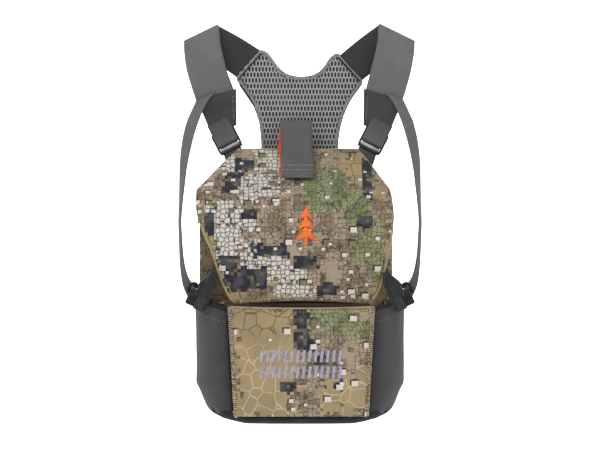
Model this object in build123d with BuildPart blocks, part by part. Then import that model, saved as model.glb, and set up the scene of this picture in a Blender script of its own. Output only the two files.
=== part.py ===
import os
from math import cos, radians, sin, tan

from build123d import *

os.makedirs("parts", exist_ok=True)

# Pouch body: X to the right, front faces -Y, Z up, resting on z = 0.
BODY_HALF = 95.5
BODY_FRONT = -38.0
BODY_CORNER = 24.0
WALL = 3.0
BACK_FRONT = 40.0
BACK_REAR = 45.0
BACK_HALF = 92.0
BACK_TOP = 268.0
WALL_BOTTOM = 36.0
WALL_TOP = 270.0
CUT_FRONT = 196.0
CUT_REAR = 258.0
HINGE_Z = 122.5
LID_FRONT = -44.0
FIT = 0.3

# Base bowl, as half of its outline seen from the front.
BASE_OUTLINE = [(54, 0), (76, 6), (86, 10), (89.5, 16), (92, 24), (95.5, 36)]
BASE_INNER = [(53, 3), (74.5, 9), (84, 12.6), (87, 17.5), (89.2, 25), (92.5, 36)]
BASE_LIP = 6.0

# Stretch side pockets.
SIDE_HALF = 104.0
SIDE_FRONT = -46.0
SIDE_CORNER = 28.0
SIDE_SKIN = 2.0
SIDE_TOP = 124.5
SIDE_OUTLINE = [(88, 10), (92, 14), (97.5, 26), (102.5, 38), (104, 60)]
SIDE_DROP = 7.5
HEM = 4.0

# Front pocket.
POCKET_FRONT = -58.0
POCKET_SKIN = 2.0
POCKET_TOP = 116.0
POCKET_FLOOR = 8.0
POCKET_HALF_TOP = 73.0
POCKET_HALF_FLOOR = 65.5

# Lid hood.
LID_SKIN = 3.5
LID_BACK = 38.0
LID_KNEE = 222.0
LID_PEAK = 274.5
LID_HALF = 100.3
GUSSET_FRONT = 190.0
GUSSET_BACK = 238.0
LID_OUTLINE = [(71, HINGE_Z), (81, 152), (91, 185), (98, 208), (LID_HALF, 222), (LID_HALF, 234), (59, 275)]

# Webbing, straps and yoke.
WEB = 1.8
STRAP_FRONT_Y = 46.6
STRAP_BACK_Y = 57.0
FOLD_OUT = (117.0, 381.0)
FOLD_IN = (81.0, 399.5)
SEAM_OUT = (104.0, 322.0)
SEAM_IN = (66.0, 334.0)
YOKE_OUT = (62.5, 346.0)
YOKE_IN = (39.0, 371.0)
YOKE_SIDE = [(YOKE_OUT[0], 342), (55.5, 332), (47.5, 320), (43, 308), (40, 296), (38, 284), (37, 260), (36, 195)]
YOKE_FOOT = 175.0
YOKE_NECK = 348.0
YOKE_Y = 54.5
YOKE_MESH = 3.5
YOKE_REAR = 2.5
SIDE_WEB = 16.0

# Pull tab.
TAB_HALF = 17.0
TAB_X = -2.0
TAB_TIP = 243.0
TAB_CREST = 304.0
TAB_WEB = 2.0
TAB_FOLD_Y = 35.0

# Plastic hardware.
BUCKLE_HALF = 8.5
BUCKLE_LONG = 22.0
BUCKLE_THICK = 7.0
BUCKLE_WALL = 1.8
BUCKLE_Y = -47.8
BUCKLE_TILT = 25.0
BUCKLE_AT = (95.0, 139.0)
LOCK_LONG = 13.0
LOCK_HALF = 11.0
UPPER_AT = (75.0, 286.0)
UPPER_TILT = 27.0
UPPER_HALF = 13.0
UPPER_LONG = 22.0
UPPER_THICK = 4.5
UPPER_Y = 48.95


def save(part, label):
    part.label = label
    export_step(part, "parts/" + label + ".step")


def mirrored(points, side):
    return [(side * px, pz) for px, pz in points]


def lid_slope(py):
    return LID_KNEE + (LID_PEAK - LID_KNEE) * (py - LID_FRONT) / (LID_BACK - LID_FRONT)


def front_plane(py):
    return Plane(origin=(0, py, 0), x_dir=(1, 0, 0), z_dir=(0, -1, 0))


def plate(points, y_front, y_rear):
    """A flat piece with its outline seen from the front, between two depths."""
    with BuildPart() as flat:
        with BuildSketch(front_plane(y_rear)):
            with BuildLine():
                Polyline(*points, close=True)
            make_face()
        extrude(amount=y_rear - y_front)
    return flat.part


def side_prism(points, x_low, x_high):
    """A prism with its outline in the YZ plane, between two widths."""
    with BuildPart() as prism:
        with BuildSketch(Plane(origin=(x_low, 0, 0), x_dir=(0, 1, 0), z_dir=(1, 0, 0))):
            with BuildLine():
                Polyline(*points, close=True)
            make_face()
        extrude(amount=x_high - x_low)
    return prism.part


def footprint(half, y_front, y_rear, corner, z_low, z_high):
    """A block with rounded front corners."""
    with BuildPart() as block:
        with BuildSketch(Plane.XY.offset(z_low)) as outline:
            with Locations((0, (y_front + y_rear) / 2)):
                Rectangle(2 * half, y_rear - y_front)
            fillet(outline.vertices().sort_by(Axis.Y)[:2], corner)
        extrude(amount=z_high - z_low)
    return block.part


def ribbon(stations, width, thick):
    """Webbing through stations (x, y, z, turn about Z, lean about Y)."""
    with BuildPart() as band:
        for sx, sy, sz, turn, lean in stations:
            across = Vector(cos(radians(turn)) * cos(radians(lean)), sin(radians(turn)), sin(radians(lean)))
            along = Vector(0, 0, 1) - across * across.Z
            with BuildSketch(Plane(origin=(sx, sy, sz), x_dir=across, z_dir=along.normalized())):
                Rectangle(width, thick)
        loft(ruled=True)
    return band.part


# ---- Pouch body ----
with BuildPart() as back_panel:
    with BuildSketch(front_plane(BACK_REAR)) as outline:
        with BuildLine():
            Polyline(
                (-54, 0.5), (54, 0.5), (BACK_HALF, 30), (BACK_HALF, 226), (56, BACK_TOP), (-56, BACK_TOP),
                (-BACK_HALF, 226), (-BACK_HALF, 30), close=True,
            )
        make_face()
        fillet(outline.vertices().filter_by(lambda v: v.Y > 20), 8)
    extrude(amount=BACK_REAR - BACK_FRONT)
save(back_panel.part, "back_panel")

with BuildPart() as back_pad:
    with BuildSketch(front_plane(BACK_REAR + 4)):
        with Locations((0, 128)):
            RectangleRounded(150, 190, 16)
    extrude(amount=4)
    fillet(back_pad.faces().sort_by(Axis.Y)[-1].edges(), 2.5)
save(back_pad.part, "back_pad")

below_lid = side_prism(
    [(BODY_FRONT - 10, 0), (BODY_FRONT - 10, CUT_FRONT), (BODY_FRONT, CUT_FRONT), (BACK_FRONT, CUT_REAR),
     (BACK_FRONT, 0)], -120, 120,
)
ring = footprint(BODY_HALF, BODY_FRONT, BACK_FRONT, BODY_CORNER, WALL_BOTTOM, WALL_TOP)
ring = ring - footprint(
    BODY_HALF - WALL, BODY_FRONT + WALL, BACK_FRONT + 1, BODY_CORNER - WALL, WALL_BOTTOM - 1, WALL_TOP + 1,
)
ring = ring & below_lid & plate([(-96, 30), (96, 30), (96, 231), (58, 269), (-58, 269), (-96, 231)], -60, 60)
CORNER_X = BODY_HALF - BODY_CORNER
for side, label in ((-1, "side_wall_left"), (1, "side_wall_right")):
    with BuildPart() as side_wall:
        add(ring)
        with Locations((-side * (100 - CORNER_X), 0, WALL_TOP / 2)):
            Box(200, 200, 2 * WALL_TOP, mode=Mode.SUBTRACT)
    save(side_wall.part, label)

with BuildPart() as front_wall:
    with Locations((0, BODY_FRONT + WALL / 2, (8 + HINGE_Z - 1.5) / 2)):
        Box(2 * CORNER_X, WALL, HINGE_Z - 1.5 - 8)
save(front_wall.part, "front_wall")

bowl = plate(mirrored(BASE_OUTLINE, -1)[::-1] + BASE_OUTLINE, BODY_FRONT + WALL, BACK_FRONT)
bowl = bowl - plate(mirrored(BASE_INNER, -1)[::-1] + BASE_INNER, BODY_FRONT, BACK_FRONT + 1)
lip = plate(
    [(-54, 0), (54, 0), (76, 6), (80, 7.6), (-80, 7.6), (-76, 6)], BODY_FRONT - BASE_LIP, BODY_FRONT + WALL,
)
with BuildPart() as base_panel:
    add(bowl)
    add(lip)
save(base_panel.part, "base_panel")

with BuildPart() as base_foam:
    with Locations((0, 2.5, 6)):
        Box(104, 74, 6)
    fillet(base_foam.edges().filter_by(Axis.Z), 8)
save(base_foam.part, "base_foam")

# The upper front corners of the bowl close against the walls.
for side, label in ((-1, "corner_panel_left"), (1, "corner_panel_right")):
    points = mirrored([(80, 7.8), (85, 10.4), (88, 16.2), (90, 24.1), (91, 35.8), (71.6, 35.8), (71.6, 8)], side)
    save(plate(points, BODY_FRONT + 0.2, BODY_FRONT + WALL - 0.2), label)

# ---- Front pocket ----
def pocket_half(pz):
    return POCKET_HALF_FLOOR + (POCKET_HALF_TOP - POCKET_HALF_FLOOR) * (pz - POCKET_FLOOR) / (
        POCKET_TOP - POCKET_FLOOR)


def pocket_outline(inset, z_low, z_high):
    low = pocket_half(z_low) - inset
    high = pocket_half(z_high) - inset
    return [(-low, z_low), (low, z_low), (high, z_high), (-high, z_high)]


pocket = plate(pocket_outline(0, POCKET_FLOOR, POCKET_TOP), POCKET_FRONT, BODY_FRONT - 0.1)
pocket = pocket - plate(
    pocket_outline(POCKET_SKIN, POCKET_FLOOR + POCKET_SKIN, POCKET_TOP + 5), POCKET_FRONT + POCKET_SKIN,
    BODY_FRONT + 1,
)
save(pocket, "front_pocket")
lining = plate(pocket_outline(3, POCKET_FLOOR + 3, HINGE_Z - 2.5), BODY_FRONT - 1.4, BODY_FRONT - 0.1)
save(lining, "pocket_lining")
for side, label in ((-1, "pocket_binding_left"), (1, "pocket_binding_right")):
    points = mirrored([
        (pocket_half(POCKET_FLOOR) - 3, POCKET_FLOOR), (pocket_half(POCKET_FLOOR) + 0.2, POCKET_FLOOR),
        (pocket_half(POCKET_TOP) + 0.2, POCKET_TOP), (pocket_half(POCKET_TOP) - 3, POCKET_TOP),
    ], side)
    save(plate(points, POCKET_FRONT - 1.6, POCKET_FRONT), label)
with BuildPart() as pocket_top_binding:
    with Locations((0, POCKET_FRONT + 0.2, POCKET_TOP + 0.7)):
        Box(2 * POCKET_HALF_TOP - 6, 3.2, 1.4)
save(pocket_top_binding.part, "pocket_top_binding")
with BuildPart() as pocket_mark:
    for row_z, cells in ((68, (-28, -14, 0, 14, 28)), (52, (-28, 0, 28))):
        with Locations(*[(cell, POCKET_FRONT - 0.5, row_z) for cell in cells]):
            Box(12 if len(cells) == 5 else 26, 1.0, 11)
    with Locations((0, POCKET_FRONT - 0.25, 68), (0, POCKET_FRONT - 0.25, 52)):
        Box(60, 0.5, 1.2)
    with Locations((0, POCKET_FRONT - 0.25, 60)):
        Box(1.2, 0.5, 16)
save(pocket_mark.part, "pocket_mark")

# ---- Stretch side pockets ----
side_shape = [(20, 10)] + SIDE_OUTLINE + [(104, 130), (20, 130)]
side_inner = [(20, 10)] + [(px - SIDE_SKIN, pz) for px, pz in SIDE_OUTLINE] + [(102, 140), (20, 140)]
outer_block = footprint(SIDE_HALF, SIDE_FRONT, BACK_FRONT, SIDE_CORNER, 10, SIDE_TOP)
inner_block = footprint(
    SIDE_HALF - SIDE_SKIN, SIDE_FRONT + SIDE_SKIN, BACK_FRONT + 1, SIDE_CORNER - SIDE_SKIN, 8, SIDE_TOP + 5,
)
for side, name in ((-1, "left"), (1, "right")):
    edge = 0.6
    window = plate(mirrored([
        (pocket_half(10) + edge, 5), (120, 5), (120, SIDE_TOP), (100, SIDE_TOP),
        (pocket_half(117) + edge, SIDE_TOP - SIDE_DROP),
    ], side), -90, 60)
    shell = outer_block & plate(mirrored(side_shape, side), -90, 60)
    shell = shell - (inner_block & plate(mirrored(side_inner, side), -90, 60))
    shell = shell & window
    hem_zone = plate(mirrored([
        (60, SIDE_TOP - SIDE_DROP - HEM - 2), (100, SIDE_TOP - HEM), (120, SIDE_TOP - HEM), (120, SIDE_TOP + 1),
        (60, SIDE_TOP + 1),
    ], side), -90, 60)
    save(shell - hem_zone, "side_pocket_" + name)
    save(shell & hem_zone, "side_hem_" + name)

# ---- Lid ----
hood = side_prism([
    (LID_FRONT, HINGE_Z), (LID_FRONT, LID_KNEE), (LID_BACK, LID_PEAK), (LID_BACK, GUSSET_BACK),
    (LID_FRONT + LID_SKIN, GUSSET_FRONT), (LID_FRONT + LID_SKIN, HINGE_Z),
], -LID_HALF, LID_HALF)
with BuildPart() as knee:
    add(hood)
    fillet(knee.edges().filter_by(Axis.X).filter_by(lambda e: abs(e.center().Z - LID_KNEE) < 1), 40)
DROP = LID_SKIN / cos(radians(32.6))
with BuildPart() as hollow:
    with BuildSketch(Plane(origin=(-LID_HALF - 1, 0, 0), x_dir=(0, 1, 0), z_dir=(1, 0, 0))) as inside:
        with BuildLine():
            Polyline(
                (LID_FRONT + LID_SKIN, HINGE_Z - 5), (LID_FRONT + LID_SKIN, lid_slope(LID_FRONT + LID_SKIN) - DROP),
                (LID_BACK + 5, lid_slope(LID_BACK + 5) - DROP), (LID_BACK + 5, HINGE_Z - 5), close=True,
            )
        make_face()
        fillet(inside.vertices().filter_by(lambda v: v.Y > 200 and v.X < 0), 36.5)
    extrude(amount=2 * LID_HALF + 2)
INNER_HALF = LID_HALF - LID_SKIN
inner_outline = [(INNER_HALF, 60), (INNER_HALF, 232.7), (57.6, 271.6)]
hollow_part = hollow.part & plate(mirrored(inner_outline, -1) + inner_outline[::-1], -90, 60)
lid = knee.part & plate(mirrored(LID_OUTLINE, -1) + LID_OUTLINE[::-1], -90, 60)
save(lid - hollow_part, "lid_shell")

BIND = 2.6
hem = plate([(-69, HINGE_Z + 0.2), (69, HINGE_Z + 0.2), (69.5, HINGE_Z + BIND), (-69.5, HINGE_Z + BIND)],
            LID_FRONT - 1.0, LID_FRONT)
save(hem, "lid_hem")
with BuildPart() as lid_lining:
    with Locations((0, LID_FRONT + LID_SKIN + 0.75, (HINGE_Z + 4 + 196) / 2)):
        Box(132, 1.5, 196 - HINGE_Z - 4)
save(lid_lining.part, "lid_lining")
with BuildPart() as lid_lip:
    with Locations((0, LID_BACK - 1.25, 262)):
        Box(106, 2.5, 17)
save(lid_lip.part & plate([(-53, 250), (53, 250), (53, 268.4), (-53, 268.4)], 30, 45), "lid_lip")
for side, name in ((-1, "left"), (1, "right")):
    with BuildPart() as magnet:
        with BuildSketch(front_plane(LID_BACK - 2.5)):
            with Locations((side * 34, 260)):
                Circle(6)
        extrude(amount=2)
    save(magnet.part, "lid_magnet_" + name)
    with BuildPart() as keeper:
        with BuildSketch(front_plane(BACK_FRONT)):
            with Locations((side * 34, 258)):
                Circle(6)
        extrude(amount=1.5)
    save(keeper.part, "back_magnet_" + name)

EMBLEM_Z = 190.0
with BuildPart() as lid_emblem:
    with BuildSketch(front_plane(LID_FRONT)):
        with Locations((6, EMBLEM_Z + 6)):
            RegularPolygon(11, 3, rotation=90)
            RegularPolygon(5.5, 3, rotation=90, mode=Mode.SUBTRACT)
        with Locations((6, EMBLEM_Z - 10)):
            RegularPolygon(7, 3, rotation=-90)
        with Locations((6, EMBLEM_Z - 3.5)):
            Rectangle(3, 10)
    extrude(amount=0.8)
save(lid_emblem.part, "lid_emblem")

with BuildPart() as hinge_strip:
    with Locations((0, BODY_FRONT - 1.6, HINGE_Z - 3.4)):
        Box(136, 3.0, 4.0)
hinge_part = hinge_strip.part - lining
save(hinge_part, "hinge_strip")


# ---- Pull tab ----
def tab_path(lift):
    normal_y = -sin(radians(32.6))
    normal_z = cos(radians(32.6))
    tip_y = LID_FRONT + (TAB_TIP - LID_KNEE) / tan(radians(32.6))
    foot = (tip_y + normal_y * lift, lid_slope(tip_y) + normal_z * lift)
    bend_y = TAB_FOLD_Y - lift
    return foot, (bend_y, lid_slope(bend_y) + lift / normal_z)


foot_low, bend_low = tab_path(0.05)
foot_high, bend_high = tab_path(0.05 + TAB_WEB)
tab_points = [
    foot_low, bend_low, (35.0, TAB_CREST - 3), (37.5, TAB_CREST - 2), (39.5, TAB_CREST - 4),
    (39.5, 270), (39.5 + TAB_WEB - 0.6, 270), (39.5 + TAB_WEB - 0.6, TAB_CREST - 2), (38.5, TAB_CREST),
    (35.5, TAB_CREST), (33.0, TAB_CREST - 2), bend_high, foot_high,
]
save(side_prism(tab_points, TAB_X - TAB_HALF, TAB_X + TAB_HALF), "pull_tab")
lining_points = [
    (bend_low[0] + 0.1, bend_low[1] + 2.5), (35.1, TAB_CREST - 4.2), (37.0, TAB_CREST - 3.6),
    (39.4, TAB_CREST - 5.4), (39.4, 276), (38.5, 276), (38.5, TAB_CREST - 6.5), (36.5, TAB_CREST - 5.2),
    (36.0, bend_low[1] + 2.5),
]
save(side_prism(lining_points, TAB_X - TAB_HALF, TAB_X + TAB_HALF), "tab_lining")


# ---- Shoulder straps and yoke ----
def folded_strap(side):
    front = plate(mirrored([SEAM_OUT, SEAM_IN, FOLD_IN, FOLD_OUT], side), STRAP_FRONT_Y, STRAP_FRONT_Y + WEB)
    rear = plate(mirrored([YOKE_OUT, YOKE_IN, FOLD_IN, FOLD_OUT], side), STRAP_BACK_Y, STRAP_BACK_Y + WEB)
    start = Vector(side * FOLD_OUT[0], (STRAP_FRONT_Y + STRAP_BACK_Y + WEB) / 2, FOLD_OUT[1])
    finish = Vector(side * FOLD_IN[0], start.Y, FOLD_IN[1])
    run = finish - start
    outer = (STRAP_BACK_Y + WEB - STRAP_FRONT_Y) / 2
    with BuildPart() as fold:
        with BuildSketch(Plane(origin=start, x_dir=(0, 1, 0), z_dir=run.normalized())):
            Circle(outer)
            Circle(outer - WEB, mode=Mode.SUBTRACT)
        extrude(amount=run.length)
    above = plate(mirrored([
        FOLD_OUT, FOLD_IN, (FOLD_IN[0] + 20, FOLD_IN[1] + 40), (FOLD_OUT[0] + 20, FOLD_OUT[1] + 40),
    ], side), 30, 80)
    with BuildPart() as strap:
        add(front)
        add(rear)
        add(fold.part & above)
    return strap.part


yoke_half = [(0, YOKE_NECK), (14, 351), (28, 360), YOKE_IN, YOKE_OUT] + YOKE_SIDE + [(30, 182), (18, YOKE_FOOT)]
yoke_left = [(-px, pz) for px, pz in yoke_half[1:]][::-1]
yoke_outline = yoke_half + yoke_left
inner_half = [(0, 344.5), (13, 347.5), (27, 356.5), (38, 366), (57.5, 345), (52, 332), (44.5, 321), (40, 309)]
inner_half = inner_half + [(37, 297), (35, 284), (34, 260), (33, 196), (28, 185), (17, 178)]
inner_left = [(-px, pz) for px, pz in inner_half[1:]][::-1]
yoke_core = plate(inner_half + inner_left, YOKE_Y, YOKE_Y + YOKE_MESH)
yoke_rear = plate(yoke_outline, YOKE_Y + YOKE_MESH + 1.0, YOKE_Y + YOKE_MESH + YOKE_REAR)
yoke_rim = plate(yoke_outline, YOKE_Y, YOKE_Y + YOKE_MESH + 1.0) - plate(
    inner_half + inner_left, YOKE_Y - 1, YOKE_Y + 9)
straps = {side: folded_strap(side) for side in (-1, 1)}
yoke_rear = yoke_rear - straps[-1] - straps[1]
yoke_rim = yoke_rim - straps[-1] - straps[1]
save(yoke_core, "yoke_mesh")
save(yoke_rear, "yoke_backing")
save(yoke_rim, "yoke_binding")

PATCH = [(105, 326), (65, 338.5), (64.5, 301), (90, 290)]
PATCH_Y = 44.9
patches = {}
for side, name in ((-1, "left"), (1, "right")):
    save(straps[side], "shoulder_strap_" + name)
    patches[side] = plate(mirrored(PATCH, side), PATCH_Y, STRAP_FRONT_Y)
    save(patches[side], "junction_patch_" + name)

# ---- Upper ladder locks, on webbing sewn to the back panel ----
for side, name in ((-1, "left"), (1, "right")):
    axis = Vector(side * sin(radians(UPPER_TILT)), 0, cos(radians(UPPER_TILT)))
    across = Vector(cos(radians(UPPER_TILT)), 0, -side * sin(radians(UPPER_TILT)))
    centre = Vector(side * UPPER_AT[0], UPPER_Y, UPPER_AT[1])
    lock_plane = Plane(origin=centre + Vector(0, UPPER_THICK / 2, 0), x_dir=across, z_dir=(0, -1, 0))
    slot = 2 * UPPER_HALF - 5
    with BuildPart() as upper_lock:
        with BuildSketch(lock_plane):
            RectangleRounded(2 * UPPER_HALF, UPPER_LONG, 2.5)
            with Locations((0, 5.4)):
                Rectangle(slot, 5.2, mode=Mode.SUBTRACT)
            with Locations((0, -5.4)):
                Rectangle(slot, 5.2, mode=Mode.SUBTRACT)
        extrude(amount=UPPER_THICK)
    save(upper_lock.part, "upper_lock_" + name)
    # One webbing loop round the lower bar, sewn to the back panel, and one round the upper bar.
    half_gap = UPPER_THICK / 2 + 0.4
    for where, label in ((-1, "upper_anchor_"), (1, "upper_loop_")):
        reach = 36.0 if where < 0 else 12.0
        bar = centre + axis * (9.4 * where)
        loop_plane = Plane(origin=bar - across * (slot / 2 - 0.6), x_dir=axis * where, z_dir=across)
        with BuildPart() as loop:
            with BuildSketch(loop_plane) as section:
                with Locations((-3.6 + reach / 2, 0)):
                    Rectangle(reach, 2 * half_gap + 2 * 1.3)
                with Locations((-3.6 + 1.2 + (reach - 2.4) / 2 - 2.0, 0)):
                    Rectangle(reach - 2.4 - 4.0, 2 * half_gap, mode=Mode.SUBTRACT)
            extrude(amount=slot - 1.2)
        save(loop.part - patches[side] - straps[side], label + name)

# ---- Narrow side straps ----
STATIONS = [
    (101, 44.05, 314, 4, 12), (107, 42.0, 303, 10, 10), (113, 34, 284, 35, 5), (116, 23, 260, 46, 3),
    (117.5, 14, 242, 62, 2), (119, 5, 224, 80, 0), (120.5, -6, 200, 84, 0), (119.5, -24, 164, 64, 0),
    (117, -33, 146, 50, -10), (112.5, -40, 134.5, 24, -25), (107.5, -43.8, 127.5, 6, -38),
]
for side, name in ((-1, "left"), (1, "right")):
    stations = [(side * sx, sy, sz, side * turn, side * -lean) for sx, sy, sz, turn, lean in STATIONS]
    save(ribbon(stations, SIDE_WEB, WEB - 0.2), "side_strap_" + name)


# ---- Lower side-release buckles ----
def release_buckle(side):
    """Female body, male body and tail: local Y runs down the buckle, local Z towards the viewer."""
    down = Vector(side * sin(radians(BUCKLE_TILT)), 0, -cos(radians(BUCKLE_TILT)))
    middle = Vector(side * BUCKLE_AT[0], BUCKLE_Y + BUCKLE_THICK / 2, BUCKLE_AT[1])
    cross = down.cross(Vector(0, -1, 0))
    base = Plane(origin=middle, x_dir=cross, z_dir=(0, -1, 0))
    half_long = BUCKLE_LONG / 2
    with BuildPart() as female:
        with BuildSketch(base):
            RectangleRounded(2 * BUCKLE_HALF, BUCKLE_LONG, 2)
        extrude(amount=BUCKLE_THICK)
        with BuildSketch(base.offset(BUCKLE_WALL)):
            with Locations((0, 3.0)):
                Rectangle(2 * BUCKLE_HALF - 4, BUCKLE_LONG)
            with Locations((0, 1.0)):
                Rectangle(2 * BUCKLE_HALF + 4, 9)
        extrude(amount=BUCKLE_THICK - 2 * BUCKLE_WALL, mode=Mode.SUBTRACT)
    with BuildPart() as male:
        with BuildSketch(base.offset(BUCKLE_WALL + FIT + 0.1)):
            with Locations((0, half_long - 4.0)):
                Rectangle(4, 19)
            for edge in (-1, 1):
                with Locations((edge * (BUCKLE_HALF - 4.1), half_long - 3.0)):
                    Rectangle(2.6, 17)
        extrude(amount=BUCKLE_THICK - 2 * BUCKLE_WALL - 2 * FIT - 0.2)
        with BuildSketch(base.offset(1.0)):
            with Locations((0, half_long + 0.5 + LOCK_LONG / 2)):
                RectangleRounded(2 * LOCK_HALF, LOCK_LONG, 2)
            with Locations((0, half_long + 0.5 + 4.5), (0, half_long + 0.5 + 9.2)):
                Rectangle(2 * LOCK_HALF - 6, 2.6, mode=Mode.SUBTRACT)
        extrude(amount=BUCKLE_THICK - 2.0)
    return female.part, male.part, base


for side, name in ((-1, "left"), (1, "right")):
    female, male, base = release_buckle(side)
    save(female, "lower_female_" + name)
    save(male, "lower_male_" + name)
    half_long = BUCKLE_LONG / 2
    with BuildPart() as tail:
        with BuildSketch(base.offset(BUCKLE_THICK - 0.9)):
            with Locations((0, half_long + 7.0)):
                Rectangle(2 * LOCK_HALF - 8, 9)
        extrude(amount=1.6)
    save(tail.part, "strap_tail_" + name)
    with BuildPart() as anchor:
        add(footprint(BODY_HALF + WEB, BODY_FRONT - WEB, 0, BODY_CORNER + WEB, 148, 162))
        add(plate(mirrored([(85.5, 147), (94, 143.5), (94, 150), (85.5, 152)], side), -44.2, -12))
        add(footprint(BODY_HALF, BODY_FRONT, 1, BODY_CORNER, 140, 170), mode=Mode.SUBTRACT)
        with Locations((-side * (200 - 85), 0, 150)):
            Box(400, 200, 100, mode=Mode.SUBTRACT)
    save(anchor.part, "lower_anchor_" + name)
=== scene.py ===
import math

import bmesh
import bpy
from mathutils import Matrix, Vector, noise
from mathutils.bvhtree import BVHTree


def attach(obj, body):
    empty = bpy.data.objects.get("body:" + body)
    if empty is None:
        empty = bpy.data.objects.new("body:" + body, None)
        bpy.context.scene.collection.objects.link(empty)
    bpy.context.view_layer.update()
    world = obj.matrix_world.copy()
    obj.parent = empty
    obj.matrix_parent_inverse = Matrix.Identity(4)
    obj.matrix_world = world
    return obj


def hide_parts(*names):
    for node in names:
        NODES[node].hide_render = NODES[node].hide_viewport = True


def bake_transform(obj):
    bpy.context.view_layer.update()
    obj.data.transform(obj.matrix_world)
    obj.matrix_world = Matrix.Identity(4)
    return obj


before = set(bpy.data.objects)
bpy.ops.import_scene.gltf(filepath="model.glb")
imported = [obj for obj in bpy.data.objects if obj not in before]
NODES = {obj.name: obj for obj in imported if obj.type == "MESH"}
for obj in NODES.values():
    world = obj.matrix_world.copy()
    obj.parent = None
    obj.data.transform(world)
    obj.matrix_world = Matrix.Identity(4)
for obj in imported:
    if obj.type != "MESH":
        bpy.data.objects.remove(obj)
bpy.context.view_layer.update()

MM = 0.001
SIDES = ((-1, "left"), (1, "right"))
FORWARD = Vector((0, -1, 0))
# The camera's height and its distance from the plane that the front was laid out on, in mm.
DISTANCE = 4000.0
FRONT_PLANE_Y = -40.0
CAMERA_Z = 199.0


# ---------------------------------------------------------------- geometry helpers (millimetres)
def lerp(a, b, t):
    return a + (b - a) * t


def smooth(t):
    t = min(1.0, max(0.0, t))
    return t * t * (3 - 2 * t)


def table(x, pairs):
    """A value read from a list of (x, value) pairs, with straight lines between them."""
    if x <= pairs[0][0]:
        return pairs[0][1]
    for (xa, ya), (xb, yb) in zip(pairs, pairs[1:]):
        if x <= xb:
            return lerp(ya, yb, (x - xa) / (xb - xa))
    return pairs[-1][1]


def wave(x, y, z, size):
    return noise.noise(Vector((x / size, y / size, z / size)))


def seen(x, y, z):
    """A point at depth y that the camera sees where (x, z) is on the object's front plane."""
    k = (DISTANCE - FRONT_PLANE_Y + y) / DISTANCE
    return Vector((x * k, y, CAMERA_Z + (z - CAMERA_Z) * k))


def mirrored(points, side):
    return [Vector((side * x, y, z)) for x, y, z in points]


def straight(a, b, parts):
    """Points at equal distances on a straight line."""
    return [Vector([lerp(p, q, k / parts) for p, q in zip(a, b)]) for k in range(parts + 1)]


def length_of(points):
    return sum((b - a).length for a, b in zip(points, points[1:]))


def heading(points, i):
    """The direction of a polyline at one of its points."""
    return (points[min(i + 1, len(points) - 1)] - points[max(i - 1, 0)]).normalized()


def spline(points, count):
    """Points spread evenly by parameter along a smooth curve through the given ones."""
    out = []
    last = len(points) - 1
    for i in range(count):
        s = i / (count - 1) * last
        k = min(int(s), last - 1)
        t = s - k
        p1, p2 = Vector(points[k]), Vector(points[k + 1])
        p0 = Vector(points[k - 1]) if k > 0 else p1 * 2 - p2
        p3 = Vector(points[k + 2]) if k + 2 <= last else p2 * 2 - p1
        out.append(0.5 * (2 * p1 + (p2 - p0) * t + (2 * p0 - 5 * p1 + 4 * p2 - p3) * t * t
                          + (3 * p1 - p0 - 3 * p2 + p3) * t ** 3))
    return out


def even(points, step):
    """Points along a polyline at equal distances."""
    points = [Vector(p) for p in points]
    total = length_of(points)
    count = max(2, int(round(total / step)) + 1)
    out, k, passed = [], 0, 0.0
    for i in range(count):
        goal = total * i / (count - 1)
        while k < len(points) - 2 and passed + (points[k + 1] - points[k]).length < goal:
            passed += (points[k + 1] - points[k]).length
            k += 1
        run = (points[k + 1] - points[k]).length or 1.0
        out.append(points[k].lerp(points[k + 1], min(1.0, (goal - passed) / run)))
    return out


def link(name, data):
    obj = bpy.data.objects.new(name, data)
    bpy.context.scene.collection.objects.link(obj)
    return obj


def from_bmesh(name, bm):
    mesh = bpy.data.meshes.new(name)
    bm.to_mesh(mesh)
    bm.free()
    return link(name, mesh)


def set_layers(mesh, cloth, shade):
    """Stores each point's place on the flat cloth, in mm, and its shade."""
    if cloth:
        layer = mesh.attributes.new("cloth", "FLOAT_VECTOR", "POINT")
        layer.data.foreach_set("vector", [c * MM for u, v in cloth for c in (u, v, 0.0)])
    layer = mesh.attributes.new("shade", "FLOAT", "POINT")
    layer.data.foreach_set("value", shade or [1.0] * len(mesh.vertices))


def new_object(name, verts, faces, cloth=None, shade=None):
    mesh = bpy.data.meshes.new(name)
    mesh.from_pydata([Vector(v) * MM for v in verts], [], faces)
    set_layers(mesh, cloth, shade)
    mesh.validate()
    return link(name, mesh)


def modify(obj, kind, **settings):
    modifier = obj.modifiers.new(kind.lower(), kind)
    for key, value in settings.items():
        setattr(modifier, key, value)
    return modifier


def apply_modifiers(obj):
    graph = bpy.context.evaluated_depsgraph_get()
    fresh = bpy.data.meshes.new_from_object(obj.evaluated_get(graph))
    obj.modifiers.clear()
    obj.data = fresh


def thicken(obj, thick, relax=0, offset=-1.0, lined=True):
    """Smooths a cloth surface and gives it thickness. A lined one has its second material inside."""
    if relax:
        modify(obj, "SMOOTH", factor=0.5, iterations=relax)
    modify(obj, "SOLIDIFY", thickness=thick * MM, offset=offset, material_offset=int(lined))
    apply_modifiers(obj)


def finish_piece(obj, material, body, replaces=()):
    obj.data.materials.clear()
    for m in material if isinstance(material, (list, tuple)) else [material]:
        obj.data.materials.append(m)
    obj.data.shade_smooth()
    if body:
        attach(obj, body)
    if replaces:
        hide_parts(*replaces)
    return obj


def bridge(base, rings, sides):
    """Faces between closed rings of points that follow each other from number base."""
    faces = []
    for ring in range(base, base + (rings - 1) * sides, sides):
        for k in range(sides):
            a, b = ring + k, ring + (k + 1) % sides
            faces.append((a, b, b + sides, a + sides))
    return faces


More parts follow.
